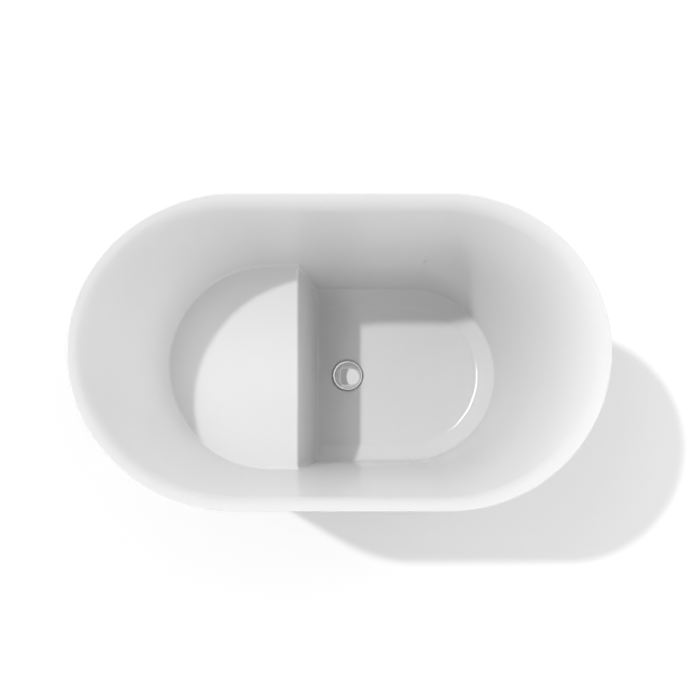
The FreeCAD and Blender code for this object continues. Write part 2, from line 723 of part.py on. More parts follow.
def make_drain_body():
    """Waste body: flange, bevelled valve seat, threaded tube and a spider that carries the sleeve."""
    profile = [
        (BODY_BORE, BODY_LOW_Z),
        (BODY_RADIUS, BODY_LOW_Z),
        (BODY_RADIUS, FLANGE_LOW_Z),
        (FLANGE_RADIUS, FLANGE_LOW_Z),
        (FLANGE_RADIUS, FLANGE_LOW_Z + FLANGE / 2),
        (FLANGE_RADIUS - FLANGE / 2, FLANGE_TOP_Z),
        (BODY_BORE + VALVE_CHAMFER, FLANGE_TOP_Z),
        (BODY_BORE, FLANGE_TOP_Z - VALVE_CHAMFER),
        (BODY_BORE, BODY_LOW_Z),
    ]
    body = turned(lines(profile), DRAIN_X, 0.0)
    low = SPIDER_TOP_Z - SPIDER_HEIGHT
    boss = rod(SPIDER_BOSS_RADIUS, low, SPIDER_TOP_Z, DRAIN_X, 0.0)
    half = SPIDER_ARM / 2
    reach = (BODY_BORE + BODY_RADIUS) / 2
    for k in range(SPIDER_ARMS):
        arm = block(0.0, reach, -half, half, low, SPIDER_TOP_Z)
        arm.rotate(Vector(0, 0, 0), Vector(0, 0, 1), 360 / SPIDER_ARMS * k)
        arm.translate(Vector(DRAIN_X, 0, 0))
        boss = boss.fuse(arm)
    return body.fuse(boss).cut(rod(SLEEVE_RADIUS, low, SPIDER_TOP_Z, DRAIN_X, 0.0))


def make_back_nut():
    """Hexagonal nut that draws the waste body down."""
    high = RECESS_LOW_Z - LOWER_WASHER
    nut = hexagon(BACK_NUT_FLATS, high - BACK_NUT, high, DRAIN_X, 0.0)
    return nut.cut(rod(BODY_RADIUS + THREAD_CLEARANCE, high - BACK_NUT, high, DRAIN_X, 0.0))


def make_tail_nut():
    """Coupling nut under the waste body, with a lip that lifts the seal."""
    lip_z = BODY_LOW_Z - TAIL_SEAL
    low = lip_z - TAIL_NUT_LIP
    high = BODY_LOW_Z + TAIL_NUT_THREAD
    nut = hexagon(TAIL_NUT_FLATS, low, high, DRAIN_X, 0.0)
    nut = nut.cut(rod(BODY_RADIUS + THREAD_CLEARANCE, lip_z, high, DRAIN_X, 0.0))
    return nut.cut(rod(TAIL_SPIGOT_RADIUS + THREAD_CLEARANCE, low, lip_z, DRAIN_X, 0.0))


def make_tail_pipe():
    """Outlet pipe: a spigot held by the coupling nut, and a wider end for the trap's socket."""
    top = BODY_LOW_Z + TAIL_INSERT
    shoulder = BODY_LOW_Z - TAIL_SEAL - TAIL_NUT_LIP - TAIL_SHOULDER_GAP
    profile = [
        (TAIL_BORE, TAIL_END_Z),
        (TAIL_RADIUS, TAIL_END_Z),
        (TAIL_RADIUS, shoulder),
        (TAIL_SPIGOT_RADIUS, shoulder),
        (TAIL_SPIGOT_RADIUS, top),
        (TAIL_BORE, top),
        (TAIL_BORE, TAIL_END_Z),
    ]
    return turned(lines(profile), DRAIN_X, 0.0)


def make_drain_cap():
    """Domed cap with a half-round bead round its edge, hollowed underneath, tapped for the stem."""
    bead = BEAD_WIDTH / 2
    dome_edge = CAP_RADIUS - BEAD_WIDTH
    bead_z = CAP_LOW_Z + CAP_SKIN / 2
    top_z = bead_z + DOME_RISE
    sphere = (dome_edge**2 + DOME_RISE**2) / (2 * DOME_RISE)
    half_share = dome_edge / 2
    middle_z = top_z - sphere + math.sqrt(sphere**2 - half_share**2)
    socket_z = CAP_LOW_Z + STEM_THREAD
    hollow_z = CAP_LOW_Z + CAP_SKIN / 2
    profile = lines(
        [
            (0.0, top_z),
            (0.0, socket_z),
            (STEM_RADIUS, socket_z),
            (STEM_RADIUS, CAP_LOW_Z),
            (CAP_LAND_RADIUS, CAP_LOW_Z),
            (CAP_LAND_RADIUS, hollow_z),
            (dome_edge - CAP_SKIN, hollow_z),
            (dome_edge - CAP_SKIN, CAP_LOW_Z),
            (CAP_RADIUS - bead, CAP_LOW_Z),
            (CAP_RADIUS, bead_z),
        ]
    )
    profile.append(arc((CAP_RADIUS, bead_z), (CAP_RADIUS - bead, bead_z + bead), (dome_edge, bead_z)))
    profile.append(arc((dome_edge, bead_z), (half_share, middle_z), (0.0, top_z)))
    return turned(profile, DRAIN_X, 0.0)


def make_cap_seal():
    """Rubber seal under the cap, with a bevel that follows the valve seat at a clearance."""
    gap = SEAL_CLEARANCE * math.sqrt(2.0)
    low = CAP_LOW_Z - SEAL_HEIGHT
    wide = BODY_BORE + VALVE_CHAMFER - gap
    profile = [
        (STEM_RADIUS, low),
        (wide - (FLANGE_TOP_Z - low), low),
        (wide, FLANGE_TOP_Z),
        (wide, CAP_LOW_Z),
        (STEM_RADIUS, CAP_LOW_Z),
        (STEM_RADIUS, low),
    ]
    return turned(lines(profile), DRAIN_X, 0.0)


def make_cap_stem():
    """Stem screwed into the cap, with a flange under the seal, sliding in the sleeve."""
    stem = rod(STEM_RADIUS, STEM_LOW_Z, CAP_LOW_Z + STEM_THREAD, DRAIN_X, 0.0)
    flange_high = STEM_FLANGE_LOW_Z + STEM_FLANGE
    return stem.fuse(rod(STEM_FLANGE_RADIUS, STEM_FLANGE_LOW_Z, flange_high, DRAIN_X, 0.0))


def make_valve_sleeve():
    """Sleeve in the spider that guides the stem and holds its spring."""
    barrel = rod(SLEEVE_RADIUS, SLEEVE_BORE_Z - SLEEVE_FLOOR, SLEEVE_TOP_Z, DRAIN_X, 0.0)
    return barrel.cut(rod(STEM_RADIUS + STEM_CLEARANCE, SLEEVE_BORE_Z, SLEEVE_TOP_Z, DRAIN_X, 0.0))


def make_cap_spring():
    """Coil spring that lifts the stem, shown pressed down."""
    margin = SPRING_WIRE_RADIUS + SPRING_CLEARANCE
    rise = SPRING_LENGTH - 2 * margin
    path = Part.makeHelix(rise / SPRING_TURNS, rise, SPRING_RADIUS)
    circle = Part.Circle(Vector(SPRING_RADIUS, 0, 0), Vector(0, 1, 0), SPRING_WIRE_RADIUS)
    coil = Part.Wire(path).makePipeShell([Part.Wire(circle.toShape())], True, True)
    coil.translate(Vector(DRAIN_X, 0, SLEEVE_BORE_Z + margin))
    return coil


def make_waste():
    """Every piece of the waste."""
    seal_low = BODY_LOW_Z - TAIL_SEAL
    lower_washer_low = RECESS_LOW_Z - LOWER_WASHER
    thread = BODY_RADIUS + THREAD_CLEARANCE
    return {
        "drain_body": make_drain_body(),
        "flange_washer": ring(TOP_WASHER_RADIUS, thread, RECESS_Z, FLANGE_LOW_Z, DRAIN_X, 0.0),
        "lower_washer": ring(LOWER_WASHER_RADIUS, thread, lower_washer_low, RECESS_LOW_Z, DRAIN_X, 0.0),
        "back_nut": make_back_nut(),
        "tail_pipe": make_tail_pipe(),
        "tail_seal": ring(BODY_RADIUS, TAIL_SPIGOT_RADIUS, seal_low, BODY_LOW_Z, DRAIN_X, 0.0),
        "tail_nut": make_tail_nut(),
        "drain_cap": make_drain_cap(),
        "cap_seal": make_cap_seal(),
        "cap_stem": make_cap_stem(),
        "valve_sleeve": make_valve_sleeve(),
        "cap_spring": make_cap_spring(),
    }


def make_frame():
    """Rails, cross tubes, seat posts and the fastenings between them and the mouldings."""
    cross_x = RAIL_HALF - END_CROSS_SETBACK
    pieces = {
        "near_rail": make_rail(-1),
        "far_rail": make_rail(1),
        "seat_end_cross": make_cross(-cross_x, False),
        "seat_front_cross": make_cross(POST_FRONT_X, False),
        "well_cross": make_cross(WELL_CROSS_X, True),
        "foot_end_cross": make_cross(cross_x, False),
        "foot_bushes": make_foot_bushes(),
        "foot_lock_nuts": make_lock_nuts(),
        "skirt_brackets": make_skirt_brackets(),
        "bracket_bolts": make_bracket_bolts(),
        "board_screws": make_board_screws(),
        "plate_screws": make_plate_screws(),
    }
    for number, (x, y) in enumerate(post_places(), start=1):
        pieces[f"seat_post_{number}"] = make_post(x, y)
    for number, (x, y) in enumerate(foot_places(), start=1):
        pieces[f"foot_stud_{number}"] = make_foot_stud(x, y)
        pieces[f"foot_pad_{number}"] = make_foot_pad(x, y)
    return pieces


def make_mouldings():
    """Basin, skirt, their bond and the boards that stiffen the basin."""
    return {
        "inner_shell": make_inner_shell(),
        "outer_skirt": make_outer_skirt(),
        "rim_bond": make_rim_bond(),
        "floor_board": make_floor_board(),
        "seat_board": make_seat_board(),
    }


os.makedirs("parts", exist_ok=True)
for pieces in (make_mouldings(), make_frame(), make_waste()):
    for node, shape in pieces.items():
        shape.exportStep(f"parts/{node}.step")
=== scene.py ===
"""Dresses, lights and frames the sit-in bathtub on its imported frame."""

import json
import logging
import math
from dataclasses import dataclass
from enum import Enum
from typing import Any

import bpy
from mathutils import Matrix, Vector


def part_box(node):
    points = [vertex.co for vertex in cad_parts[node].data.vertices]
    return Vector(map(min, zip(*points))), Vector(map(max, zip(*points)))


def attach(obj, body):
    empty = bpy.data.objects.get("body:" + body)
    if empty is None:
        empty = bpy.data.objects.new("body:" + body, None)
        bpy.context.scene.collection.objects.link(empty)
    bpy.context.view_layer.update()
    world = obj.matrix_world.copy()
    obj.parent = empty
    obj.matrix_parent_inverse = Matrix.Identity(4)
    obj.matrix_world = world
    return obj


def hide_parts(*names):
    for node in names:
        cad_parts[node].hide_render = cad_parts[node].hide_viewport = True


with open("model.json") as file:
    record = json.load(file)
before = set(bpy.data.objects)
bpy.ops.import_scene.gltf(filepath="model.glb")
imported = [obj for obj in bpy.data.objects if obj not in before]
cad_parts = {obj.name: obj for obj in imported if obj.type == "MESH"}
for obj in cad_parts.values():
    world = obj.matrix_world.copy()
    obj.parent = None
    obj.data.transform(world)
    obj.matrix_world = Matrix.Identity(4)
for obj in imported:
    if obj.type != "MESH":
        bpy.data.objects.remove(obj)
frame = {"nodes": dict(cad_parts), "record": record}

log = logging.getLogger("sit_in_bathtub")

Colour = tuple[float, float, float]
Point = tuple[float, float, float]
Range = tuple[float, float]
Socket = bpy.types.NodeSocket
Material = bpy.types.Material
Piece = bpy.types.Object

FEET = range(1, 6)
FULL_TURN = 2.0 * math.pi
EVEN: Point = (1.0, 1.0, 1.0)
ORIGIN: Point = (0.0, 0.0, 0.0)
UPWARDS: Point = (0.0, 0.0, 1.0)
TINY = 1e-6
HEAD_SIDES = 32
SHANK_SIDES = 24
BORE_SIDES = 40
CONE_SIDES = 48
MIX_FIRST, MIX_SECOND, MIX_RESULT = 6, 7, 2  # colour sockets of a Mix node


def shade(colour: Colour, share: float) -> Colour:
    """A colour at a share of its brightness."""
    return tuple(channel * share for channel in colour)


def middle(node: str) -> Point:
    """Middle of a CAD node's box."""
    low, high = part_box(node)
    return tuple((a + b) / 2.0 for a, b in zip(low, high))


def spaced(first: float, last: float, count: int) -> list[float]:
    """Evenly spaced numbers.

    Args:
        first: The first number.
        last: The last number.
        count: How many there are.

    Returns:
        The numbers in order.
    """
    step = (last - first) / (count - 1)
    return [first + step * k for k in range(count)]


class Number:
    """A number that varies over a surface: a socket whose operators add Math nodes."""

    def __init__(self, nodes: "Nodes", socket: Socket) -> None:
        """Wraps a socket of a node tree."""
        self.nodes = nodes
        self.socket = socket

    def _math(self, operation: str, first: Any, second: Any) -> "Number":
        """Adds one Math node.

        Args:
            operation: The Math node's operation.
            first: The first operand, a Number or a plain number.
            second: The second operand.

        Returns:
            The result as a Number.
        """
        inputs = {0: first, 1: second}
        node = self.nodes.add("ShaderNodeMath", {"operation": operation}, inputs)
        return Number(self.nodes, node.outputs[0])

    def __add__(self, other: Any) -> "Number":
        """Sum."""
        return self._math("ADD", self, other)

    def __radd__(self, other: Any) -> "Number":
        """Sum with a plain number first."""
        return self._math("ADD", other, self)

    def __sub__(self, other: Any) -> "Number":
        """Difference."""
        return self._math("SUBTRACT", self, other)

    def __rsub__(self, other: Any) -> "Number":
        """Difference from a plain number."""
        return self._math("SUBTRACT", other, self)

    def __mul__(self, other: Any) -> "Number":
        """Product."""
        return self._math("MULTIPLY", self, other)

    def __rmul__(self, other: Any) -> "Number":
        """Product with a plain number first."""
        return self._math("MULTIPLY", other, self)

    def __truediv__(self, other: Any) -> "Number":
        """Quotient."""
        return self._math("DIVIDE", self, other)

    def power(self, exponent: float) -> "Number":
        """Power."""
        return self._math("POWER", self, exponent)

    def size(self) -> "Number":
        """Absolute value."""
        return self._math("ABSOLUTE", self, 0.0)

    def sine(self) -> "Number":
        """Sine of the number in radians."""
        return self._math("SINE", self, 0.0)

    def cosine(self) -> "Number":
        """Cosine of the number in radians."""
        return self._math("COSINE", self, 0.0)

    def fraction(self) -> "Number":
        """What is left over the whole number below."""
        return self._math("FRACT", self, 0.0)

    def at_most(self, limit: Any) -> "Number":
        """The smaller of the number and a limit."""
        return self._math("MINIMUM", self, limit)

    def at_least(self, limit: Any) -> "Number":
        """The larger of the number and a limit."""
        return self._math("MAXIMUM", self, limit)

    def ramp(self, low: float, high: float) -> "Number":
        """Smooth step.

        Args:
            low: Where the step starts.
            high: Where the step ends.

        Returns:
            A Number that runs smoothly from 0 at low to 1 at high.
        """
        settings = {"interpolation_type": "SMOOTHSTEP"}
        inputs = {"Value": self, "From Min": low, "From Max": high}
        node = self.nodes.add("ShaderNodeMapRange", settings, inputs)
        return Number(self.nodes, node.outputs["Result"])


@dataclass(frozen=True)
class Clouds:
    """A cloudy pattern: clouds per metre, octaves of finer clouds, factors of its axes."""

    scale: float
    octaves: float = 2.0
    stretch: Point = EVEN


class Nodes:
    """Adds nodes to one tree."""

    def __init__(self, tree: bpy.types.NodeTree) -> None:
        """Keeps the tree."""
        self.tree = tree

    def add(
        self,
        kind: str,
        settings: dict[str, Any] | None = None,
        inputs: dict[Any, Any] | None = None,
    ) -> Any:
        """Adds one node.

        Args:
            kind: The node's type.
            settings: Properties of the node, set before its sockets.
            inputs: Values, Numbers, sockets or nodes for its inputs, by name or index.

        Returns:
            The new node.
        """
        node = self.tree.nodes.new(kind)
        for name, value in (settings or {}).items():
            setattr(node, name, value)
        for key, value in (inputs or {}).items():
            self.feed(node.inputs[key], value)
        return node

    def feed(self, socket: Socket, value: Any) -> None:
        """Links or sets one input socket.

        Args:
            socket: The input socket.
            value: A Number, an output socket, a node (its first output) or a plain value.
        """
        if isinstance(value, Number):
            value = value.socket
        if isinstance(value, bpy.types.Node):
            value = value.outputs[0]
        if isinstance(value, Socket):
            self.tree.links.new(value, socket)
            return
        if socket.type == "RGBA" and len(value) == 3:
            value = (*value, 1.0)
        socket.default_value = value

    def place(self, stretch: Point = EVEN, shift: Point = ORIGIN) -> Socket:
        """Object coordinates, stretched and shifted.

        Args:
            stretch: Factors for the three axes.
            shift: Offset added after the stretch, in stretched metres.

        Returns:
            The vector socket.
        """
        coordinates = self.add("ShaderNodeTexCoord").outputs["Object"]
        inputs = {"Vector": coordinates, "Scale": stretch, "Location": shift}
        return self.add("ShaderNodeMapping", None, inputs).outputs[0]

    def axes(self, vector: Socket) -> tuple[Number, Number, Number]:
        """Splits a vector into its three Numbers."""
        split = self.add("ShaderNodeSeparateXYZ", None, {0: vector})
        return tuple(Number(self, socket) for socket in split.outputs)

    def normal(self) -> tuple[Number, Number, Number]:
        """The surface's normal as three Numbers."""
        return self.axes(self.add("ShaderNodeNewGeometry").outputs["Normal"])

    def noise(self, clouds: Clouds) -> Number:
        """Cloudy variation between 0 and 1.

        Args:
            clouds: Its size and make.

        Returns:
            The variation as a Number.
        """
        vector = self.place(clouds.stretch)
        inputs = {"Vector": vector, "Scale": clouds.scale, "Detail": clouds.octaves}
        return Number(self, self.add("ShaderNodeTexNoise", None, inputs).outputs[0])

    def cells(self, scale: float) -> Number:
        """Random value of each cell of a crystal pattern.

        Args:
            scale: Cells per metre.

        Returns:
            The value as a Number.
        """
        inputs = {"Vector": self.place(), "Scale": scale}
        colour = self.add("ShaderNodeTexVoronoi", None, inputs).outputs["Color"]
        return Number(self, self.add("ShaderNodeSeparateColor", None, {0: colour}).outputs[0])

    def blend(self, factor: Any, first: Any, second: Any) -> Socket:
        """Mixes two colours.

        Args:
            factor: Share of the second colour.
            first: Colour or socket at 0.
            second: Colour or socket at 1.

        Returns:
            The colour socket.
        """
        node = self.add("ShaderNodeMix", {"data_type": "RGBA"}, {"Factor": factor})
        self.feed(node.inputs[MIX_FIRST], first)
        self.feed(node.inputs[MIX_SECOND], second)
        return node.outputs[MIX_RESULT]

    def bump(self, height: Number, depth: float) -> Socket:
        """Raises the surface by a height pattern.

        Args:
            height: Pattern between 0 and 1.
            depth: Height in metres that the pattern's 1 stands for.

        Returns:
            The normal socket.
        """
        inputs = {"Strength": 1.0, "Distance": depth, "Height": height}
        return self.add("ShaderNodeBump", None, inputs).outputs[0]


def blank_nodes(owner: Any) -> Nodes:
    """Gives a material, world or lamp an empty node tree.

    Args:
        owner: The material, world or lamp.

    Returns:
        Its tree, ready for nodes.
    """
    owner.use_nodes = True
    owner.node_tree.nodes.clear()
    return Nodes(owner.node_tree)


@dataclass(frozen=True)
class Finish:
    """A finish of the bathtub: its colour, gloss and surface detail."""

    name: str
    colour: Colour
    roughness: float
    metallic: float = 0.0

    def material(self) -> Material:
        """Builds the material of the finish.

        Returns:
            The material.
        """
        material = bpy.data.materials.new(self.name)
        nodes = blank_nodes(material)
        shader = nodes.add("ShaderNodeBsdfPrincipled", None, {"Base Color": self.colour})
        shader.inputs["Roughness"].default_value = self.roughness
        shader.inputs["Metallic"].default_value = self.metallic
        self.detail(nodes, shader)
        nodes.add("ShaderNodeOutputMaterial", None, {"Surface": shader})
        return material

    def detail(self, nodes: Nodes, shader: bpy.types.Node) -> None:
        """Adds the surface detail of the finish.

        Args:
            nodes: The material's tree.
            shader: The surface shader to feed.
        """
        raise NotImplementedError

    def tint(self, share: float) -> Colour:
        """The finish's colour at a share of its brightness."""
        return shade(self.colour, share)


class Back(Enum):
    """A moulding's reinforced back: 1 where it faces outwards, -1 where it faces inwards."""

    OUTSIDE = 1.0
    INSIDE = -1.0


@dataclass(frozen=True)
class GlossAcrylic(Finish):
    """Glossy sanitary acrylic with a faint forming wave and fine wiping marks.

    Its back is sprayed with fibre and resin.
    """

    back: Back = Back.OUTSIDE
    index: float = 1.49
    clouds: Clouds = Clouds(3.0, 3.0)
    cloud_shade: float = 0.99
    wiping: Clouds = Clouds(40.0, 4.0, (1.0, 6.0, 1.0))
    wiping_gloss: float = 0.03
    wave: Clouds = Clouds(9.0, 1.0)
    wave_share: float = 0.2  # of the relief
    relief: float = 0.002
    strand: float = 90.0
    strand_octaves: float = 3.0
    strand_stretch: float = 0.12
    strand_edges: Range = (0.45, 0.75)
    resin: Colour = (0.6, 0.57, 0.47)
    resin_shade: float = 0.75
    resin_roughness: float = 0.5
    resin_gloss: float = 0.2
    rim: float = 0.57  # height above which no back shows
    rim_edge: float = 0.002
    upward_share: float = 0.3  # keeps what looks upwards out of the back
    facing_edge: float = 0.01  # fade between face and back

    def detail(self, nodes: Nodes, shader: bpy.types.Node) -> None:
        """Adds clouded white with a gloss that varies a little, and the matted back.

        Args:
            nodes: The material's tree.
            shader: The surface shader to feed.
        """
        shader.inputs["IOR"].default_value = self.index
        white = nodes.blend(nodes.noise(self.clouds), self.tint(self.cloud_shade), self.colour)
        strands = self.strands(nodes)
        back = self.back_mask(nodes)
        face = 1.0 - back
        resin = nodes.blend(strands, shade(self.resin, self.resin_shade), self.resin)
        nodes.feed(shader.inputs["Base Color"], nodes.blend(back, white, resin))
        gloss = (self.roughness + self.wiping_gloss * nodes.noise(self.wiping)) * face
        dull = back * (self.resin_roughness + self.resin_gloss * strands)
        nodes.feed(shader.inputs["Roughness"], gloss + dull)
        wave = nodes.noise(self.wave) * self.wave_share * face
        nodes.feed(shader.inputs["Normal"], nodes.bump(wave + strands * back, self.relief))

    def strands(self, nodes: Nodes) -> Number:
        """Matted strands that lie along the three axes.

        Args:
            nodes: The material's tree.

        Returns:
            1 on a strand, 0 between strands.
        """
        lies = []
        for axis in range(3):
            stretch = tuple(self.strand_stretch if k == axis else 1.0 for k in range(3))
            lies.append(nodes.noise(Clouds(self.strand, self.strand_octaves, stretch)))
        first, second, third = lies
        return first.at_least(second).at_least(third).ramp(*self.strand_edges)

    def back_mask(self, nodes: Nodes) -> Number:
        """Tells the back of the moulding from its face and its rim.

        Args:
            nodes: The material's tree.

        Returns:
            1 on the back, 0 elsewhere.
        """
        across, along, up = nodes.normal()
        x, y, z = nodes.axes(nodes.place())
        outward = (across * x + along * y) * self.back.value - self.upward_share * up
        below_rim = 1.0 - z.ramp(self.rim - self.rim_edge, self.rim)
        return outward.ramp(0.0, self.facing_edge) * below_rim


@dataclass(frozen=True)
class Plywood(Finish):
    """Plywood board: long grain on its faces, glued plies on its edges."""

    ply: float = 0.0024
    ply_edge: float = 0.3
    ply_shades: Range = (0.42, 0.85)
    grain: Clouds = Clouds(220.0, 5.0, (0.06, 1.0, 1.0))
    grain_share: float = 0.6
    figure: Clouds = Clouds(16.0, 3.0, (0.15, 1.0, 1.0))
    face_shade: float = 0.66
    face_slopes: Range = (0.3, 0.7)
    gloss_range: float = 0.15
    relief: float = 0.0002

    def detail(self, nodes: Nodes, shader: bpy.types.Node) -> None:
        """Adds grain along the board and the plies of its edge.

        Args:
            nodes: The material's tree.
            shader: The surface shader to feed.
        """
        grain = nodes.noise(self.grain)
        figure = nodes.noise(self.figure)
        pattern = grain * self.grain_share + figure * (1.0 - self.grain_share)
        face = nodes.blend(pattern, self.tint(self.face_shade), self.colour)
        height = nodes.axes(nodes.place())[2]
        plies = (height * (math.pi / self.ply)).sine().ramp(-self.ply_edge, self.ply_edge)
        edge = nodes.blend(plies, *(self.tint(share) for share in self.ply_shades))
        flat = nodes.normal()[2].size().ramp(*self.face_slopes)
        nodes.feed(shader.inputs["Base Color"], nodes.blend(flat, edge, face))
        nodes.feed(shader.inputs["Roughness"], self.roughness + self.gloss_range * grain)
        nodes.feed(shader.inputs["Normal"], nodes.bump(grain, self.relief))


@dataclass(frozen=True)
class PatternFinish(Finish):
    """A finish whose colour and gloss follow one pattern and its relief another."""

    tone: Clouds = Clouds(30.0, 3.0)
    shades: Range = (0.93, 1.0)
    gloss_range: float = 0.1
    texture: Clouds = Clouds(700.0)
    relief: float = 0.0

    def detail(self, nodes: Nodes, shader: bpy.types.Node) -> None:
        """Adds the pattern and the relief.

        Args:
            nodes: The material's tree.
            shader: The surface shader to feed.
        """
        pattern = self.pattern(nodes)
        nodes.feed(shader.inputs["Base Color"], self.paint(nodes, pattern))
        nodes.feed(shader.inputs["Roughness"], self.gloss(pattern))
        if self.relief:
            nodes.feed(shader.inputs["Normal"], nodes.bump(self.height(nodes), self.relief))

    def pattern(self, nodes: Nodes) -> Number:
        """The pattern of colour and gloss, between 0 and 1."""
        return nodes.noise(self.tone)

    def height(self, nodes: Nodes) -> Number:
        """The pattern of the relief, between 0 and 1."""
        return nodes.noise(self.texture)

    def paint(self, nodes: Nodes, pattern: Number) -> Socket:
        """The colour over the pattern."""
        return nodes.blend(pattern, *(self.tint(share) for share in self.shades))

    def gloss(self, pattern: Number) -> Number:
        """The roughness over the pattern."""
        return self.roughness + self.gloss_range * pattern


@dataclass(frozen=True)
class CoatedSteel(PatternFinish):
    """Powder-coated tube: fine orange peel, slightly worn tone."""

    tone: Clouds = Clouds(25.0, 4.0)
    shades: Range = (0.8, 1.15)
    gloss_range: float = 0.12
    texture: Clouds = Clouds(900.0, 1.0)
    relief: float = 0.00008


@dataclass(frozen=True)
class ZincPlate(PatternFinish):
    """Zinc plate: small crystals that differ in tone and gloss under a dull film."""

    crystals: float = 260.0
    crystal_share: float = 0.5
    tone: Clouds = Clouds(60.0, 3.0)
    shades: Range = (0.72, 1.0)
    gloss_range: float = 0.2

    def pattern(self, nodes: Nodes) -> Number:
        """Crystals and film together."""
        crystal = nodes.cells(self.crystals) * self.crystal_share
        return crystal + nodes.noise(self.tone) * (1.0 - self.crystal_share)


@dataclass(frozen=True)
class ChromePlate(PatternFinish):
    """Polished chrome with a trace of water marks."""

    tone: Clouds = Clouds(90.0, 4.0)
    shades: Range = (0.96, 1.0)
    gloss_range: float = 0.05

    def gloss(self, pattern: Number) -> Number:
        """A roughness that rises only where the marks are strong."""
        return self.roughness + self.gloss_range * pattern.power(2.0)


@dataclass(frozen=True)
class CapChrome(ChromePlate):
    """Chrome of the waste cap, with a painted highlight: its bead is coloured brighter than its
    face.
    """

    bead: float = 0.0045
    bead_edge: float = 0.0005
    # painted highlight: raises the bead's colour so that it shows as a white ring
    bead_highlight_gain: float = 1.35

    def paint(self, nodes: Nodes, pattern: Number) -> Socket:
        """The face's colour, with the bead coloured brighter as a painted highlight.

        Args:
            nodes: The material's tree.
            pattern: The pattern of the marks.

        Returns:
            The colour socket.
        """
        face = super().paint(nodes, pattern)
        low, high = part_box("drain_cap")
        inner = (high[0] - low[0]) / 2.0 - self.bead
        middle_x, middle_y, _ = middle("drain_cap")
        x, y, _ = nodes.axes(nodes.place(shift=(-middle_x, -middle_y, 0.0)))
        # painted highlight: mask of the bead, which is coloured brighter than the face
        painted_bead_highlight = (x * x + y * y).power(0.5).ramp(inner, inner + self.bead_edge)
        return nodes.blend(painted_bead_highlight, face, self.tint(self.bead_highlight_gain))


@dataclass(frozen=True)
class TurnedMetal(PatternFinish):
    """Turned or drawn metal: fine rings up its height, dulled in patches."""

    ring: float = 0.0006
    tone: Clouds = Clouds(120.0, 3.0)
    shades: Range = (0.75, 1.0)
    gloss_range: float = 0.15
    relief: float = 0.00003

    def height(self, nodes: Nodes) -> Number:
        """Tool rings."""
        z = nodes.axes(nodes.place())[2]
        return (z * (FULL_TURN / self.ring)).sine() * 0.5 + 0.5


@dataclass(frozen=True)
class BlackRubber(PatternFinish):
    """Moulded rubber: dull, with a dusty bloom and a fine grain."""

    tone: Clouds = Clouds(45.0, 4.0)
    bloom_edges: Range = (0.35, 0.75)
    shades: Range = (1.0, 1.9)
    texture: Clouds = Clouds(1400.0)
    relief: float = 0.00006

    def pattern(self, nodes: Nodes) -> Number:
        """Patches of bloom."""
        return nodes.noise(self.tone).ramp(*self.bloom_edges)


@dataclass(frozen=True)
class MouldedPlastic(PatternFinish):
    """Moulded plastic or cured adhesive: soft gloss, slight clouding and fine texture."""

    relief: float = 0.00004


class Slot(Enum):
    """Material slots, each with its finish."""

    ACRYLIC = GlossAcrylic("acrylic", (0.62, 0.62, 0.62), 0.07)
    SKIRT_ACRYLIC = GlossAcrylic("skirt_acrylic", (0.62, 0.62, 0.62), 0.07, back=Back.INSIDE)
    BOND = MouldedPlastic("bond", (0.84, 0.84, 0.82), 0.45)
    BOARD = Plywood("board", (0.66, 0.49, 0.31), 0.6)
    FRAME_STEEL = CoatedSteel("frame_steel", (0.3, 0.31, 0.32), 0.38)
    ZINC = ZincPlate("zinc", (0.72, 0.72, 0.7), 0.28, 1.0)
    PAD_RUBBER = BlackRubber("pad_rubber", (0.035, 0.035, 0.035), 0.62)
    CHROME = CapChrome("chrome", (0.72, 0.72, 0.73), 0.04, 1.0)
    # painted shade: the waste body's plate is darkened so that the ring round the cap looks dark
    SHADED_WASTE_CHROME = ChromePlate("waste_chrome_painted_shade", (0.33, 0.33, 0.34), 0.08, 1.0)
    BRASS = TurnedMetal("brass", (0.78, 0.58, 0.27), 0.24, 1.0)
    SPRING_STEEL = TurnedMetal("spring_steel", (0.6, 0.6, 0.6), 0.22, 1.0)
    SEAL_RUBBER = BlackRubber("seal_rubber", (0.05, 0.05, 0.05), 0.55)
    PIPE_PLASTIC = MouldedPlastic("pipe_plastic", (0.8, 0.8, 0.79), 0.3)


class Workshop:
    """Keeps one material for each slot, dresses objects and lets pieces stand for CAD nodes."""

    def __init__(self) -> None:
        """Builds every finish."""
        self.materials = {slot: slot.value.material() for slot in Slot}
        self.by_name = {slot.value.name: slot for slot in Slot}

    def dress(self, piece: Piece, slot: Slot) -> None:
        """Gives a piece one finish.

        Args:
            piece: A mesh object.
            slot: The slot whose finish it takes.
        """
        piece.data.materials.clear()
        piece.data.materials.append(self.materials[slot])
        log.info("%s dressed in %s", piece.name, slot.value.name)

    def dress_nodes(self, *names: str) -> None:
        """Dresses CAD nodes as the record's slots say.

        Args:
            names: The nodes.
        """
        slots = {row["node"]: row["material_slot"] for row in frame["record"]["subparts"]}
        for name in names:
            self.dress(frame["nodes"][name], self.by_name[slots[name]])

    def stand_in(self, piece: Piece, body: str, slot: Slot, node: str) -> None:
        """Lets a piece stand for a CAD node.

        Args:
            piece: The finished piece.
            body: The body it moves with.
            slot: The slot of its finish.
            node: The CAD node it replaces.
        """
        self.dress(piece, slot)
        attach(piece, body)
        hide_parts(node)
        log.info("%s stands for %s on %s", piece.name, node, body)


class Turn(Enum):
    """Ways a fastening points, as Euler angles."""

    UP = (0.0, 0.0, 0.0)
    DOWN = (math.pi, 0.0, 0.0)
    NEAR = (math.pi / 2.0, 0.0, 0.0)
    FAR = (-math.pi / 2.0, 0.0, 0.0)


@dataclass(frozen=True)
class Place:
    """A point and the way a fastening points there."""

    point: Point
    turn: Turn


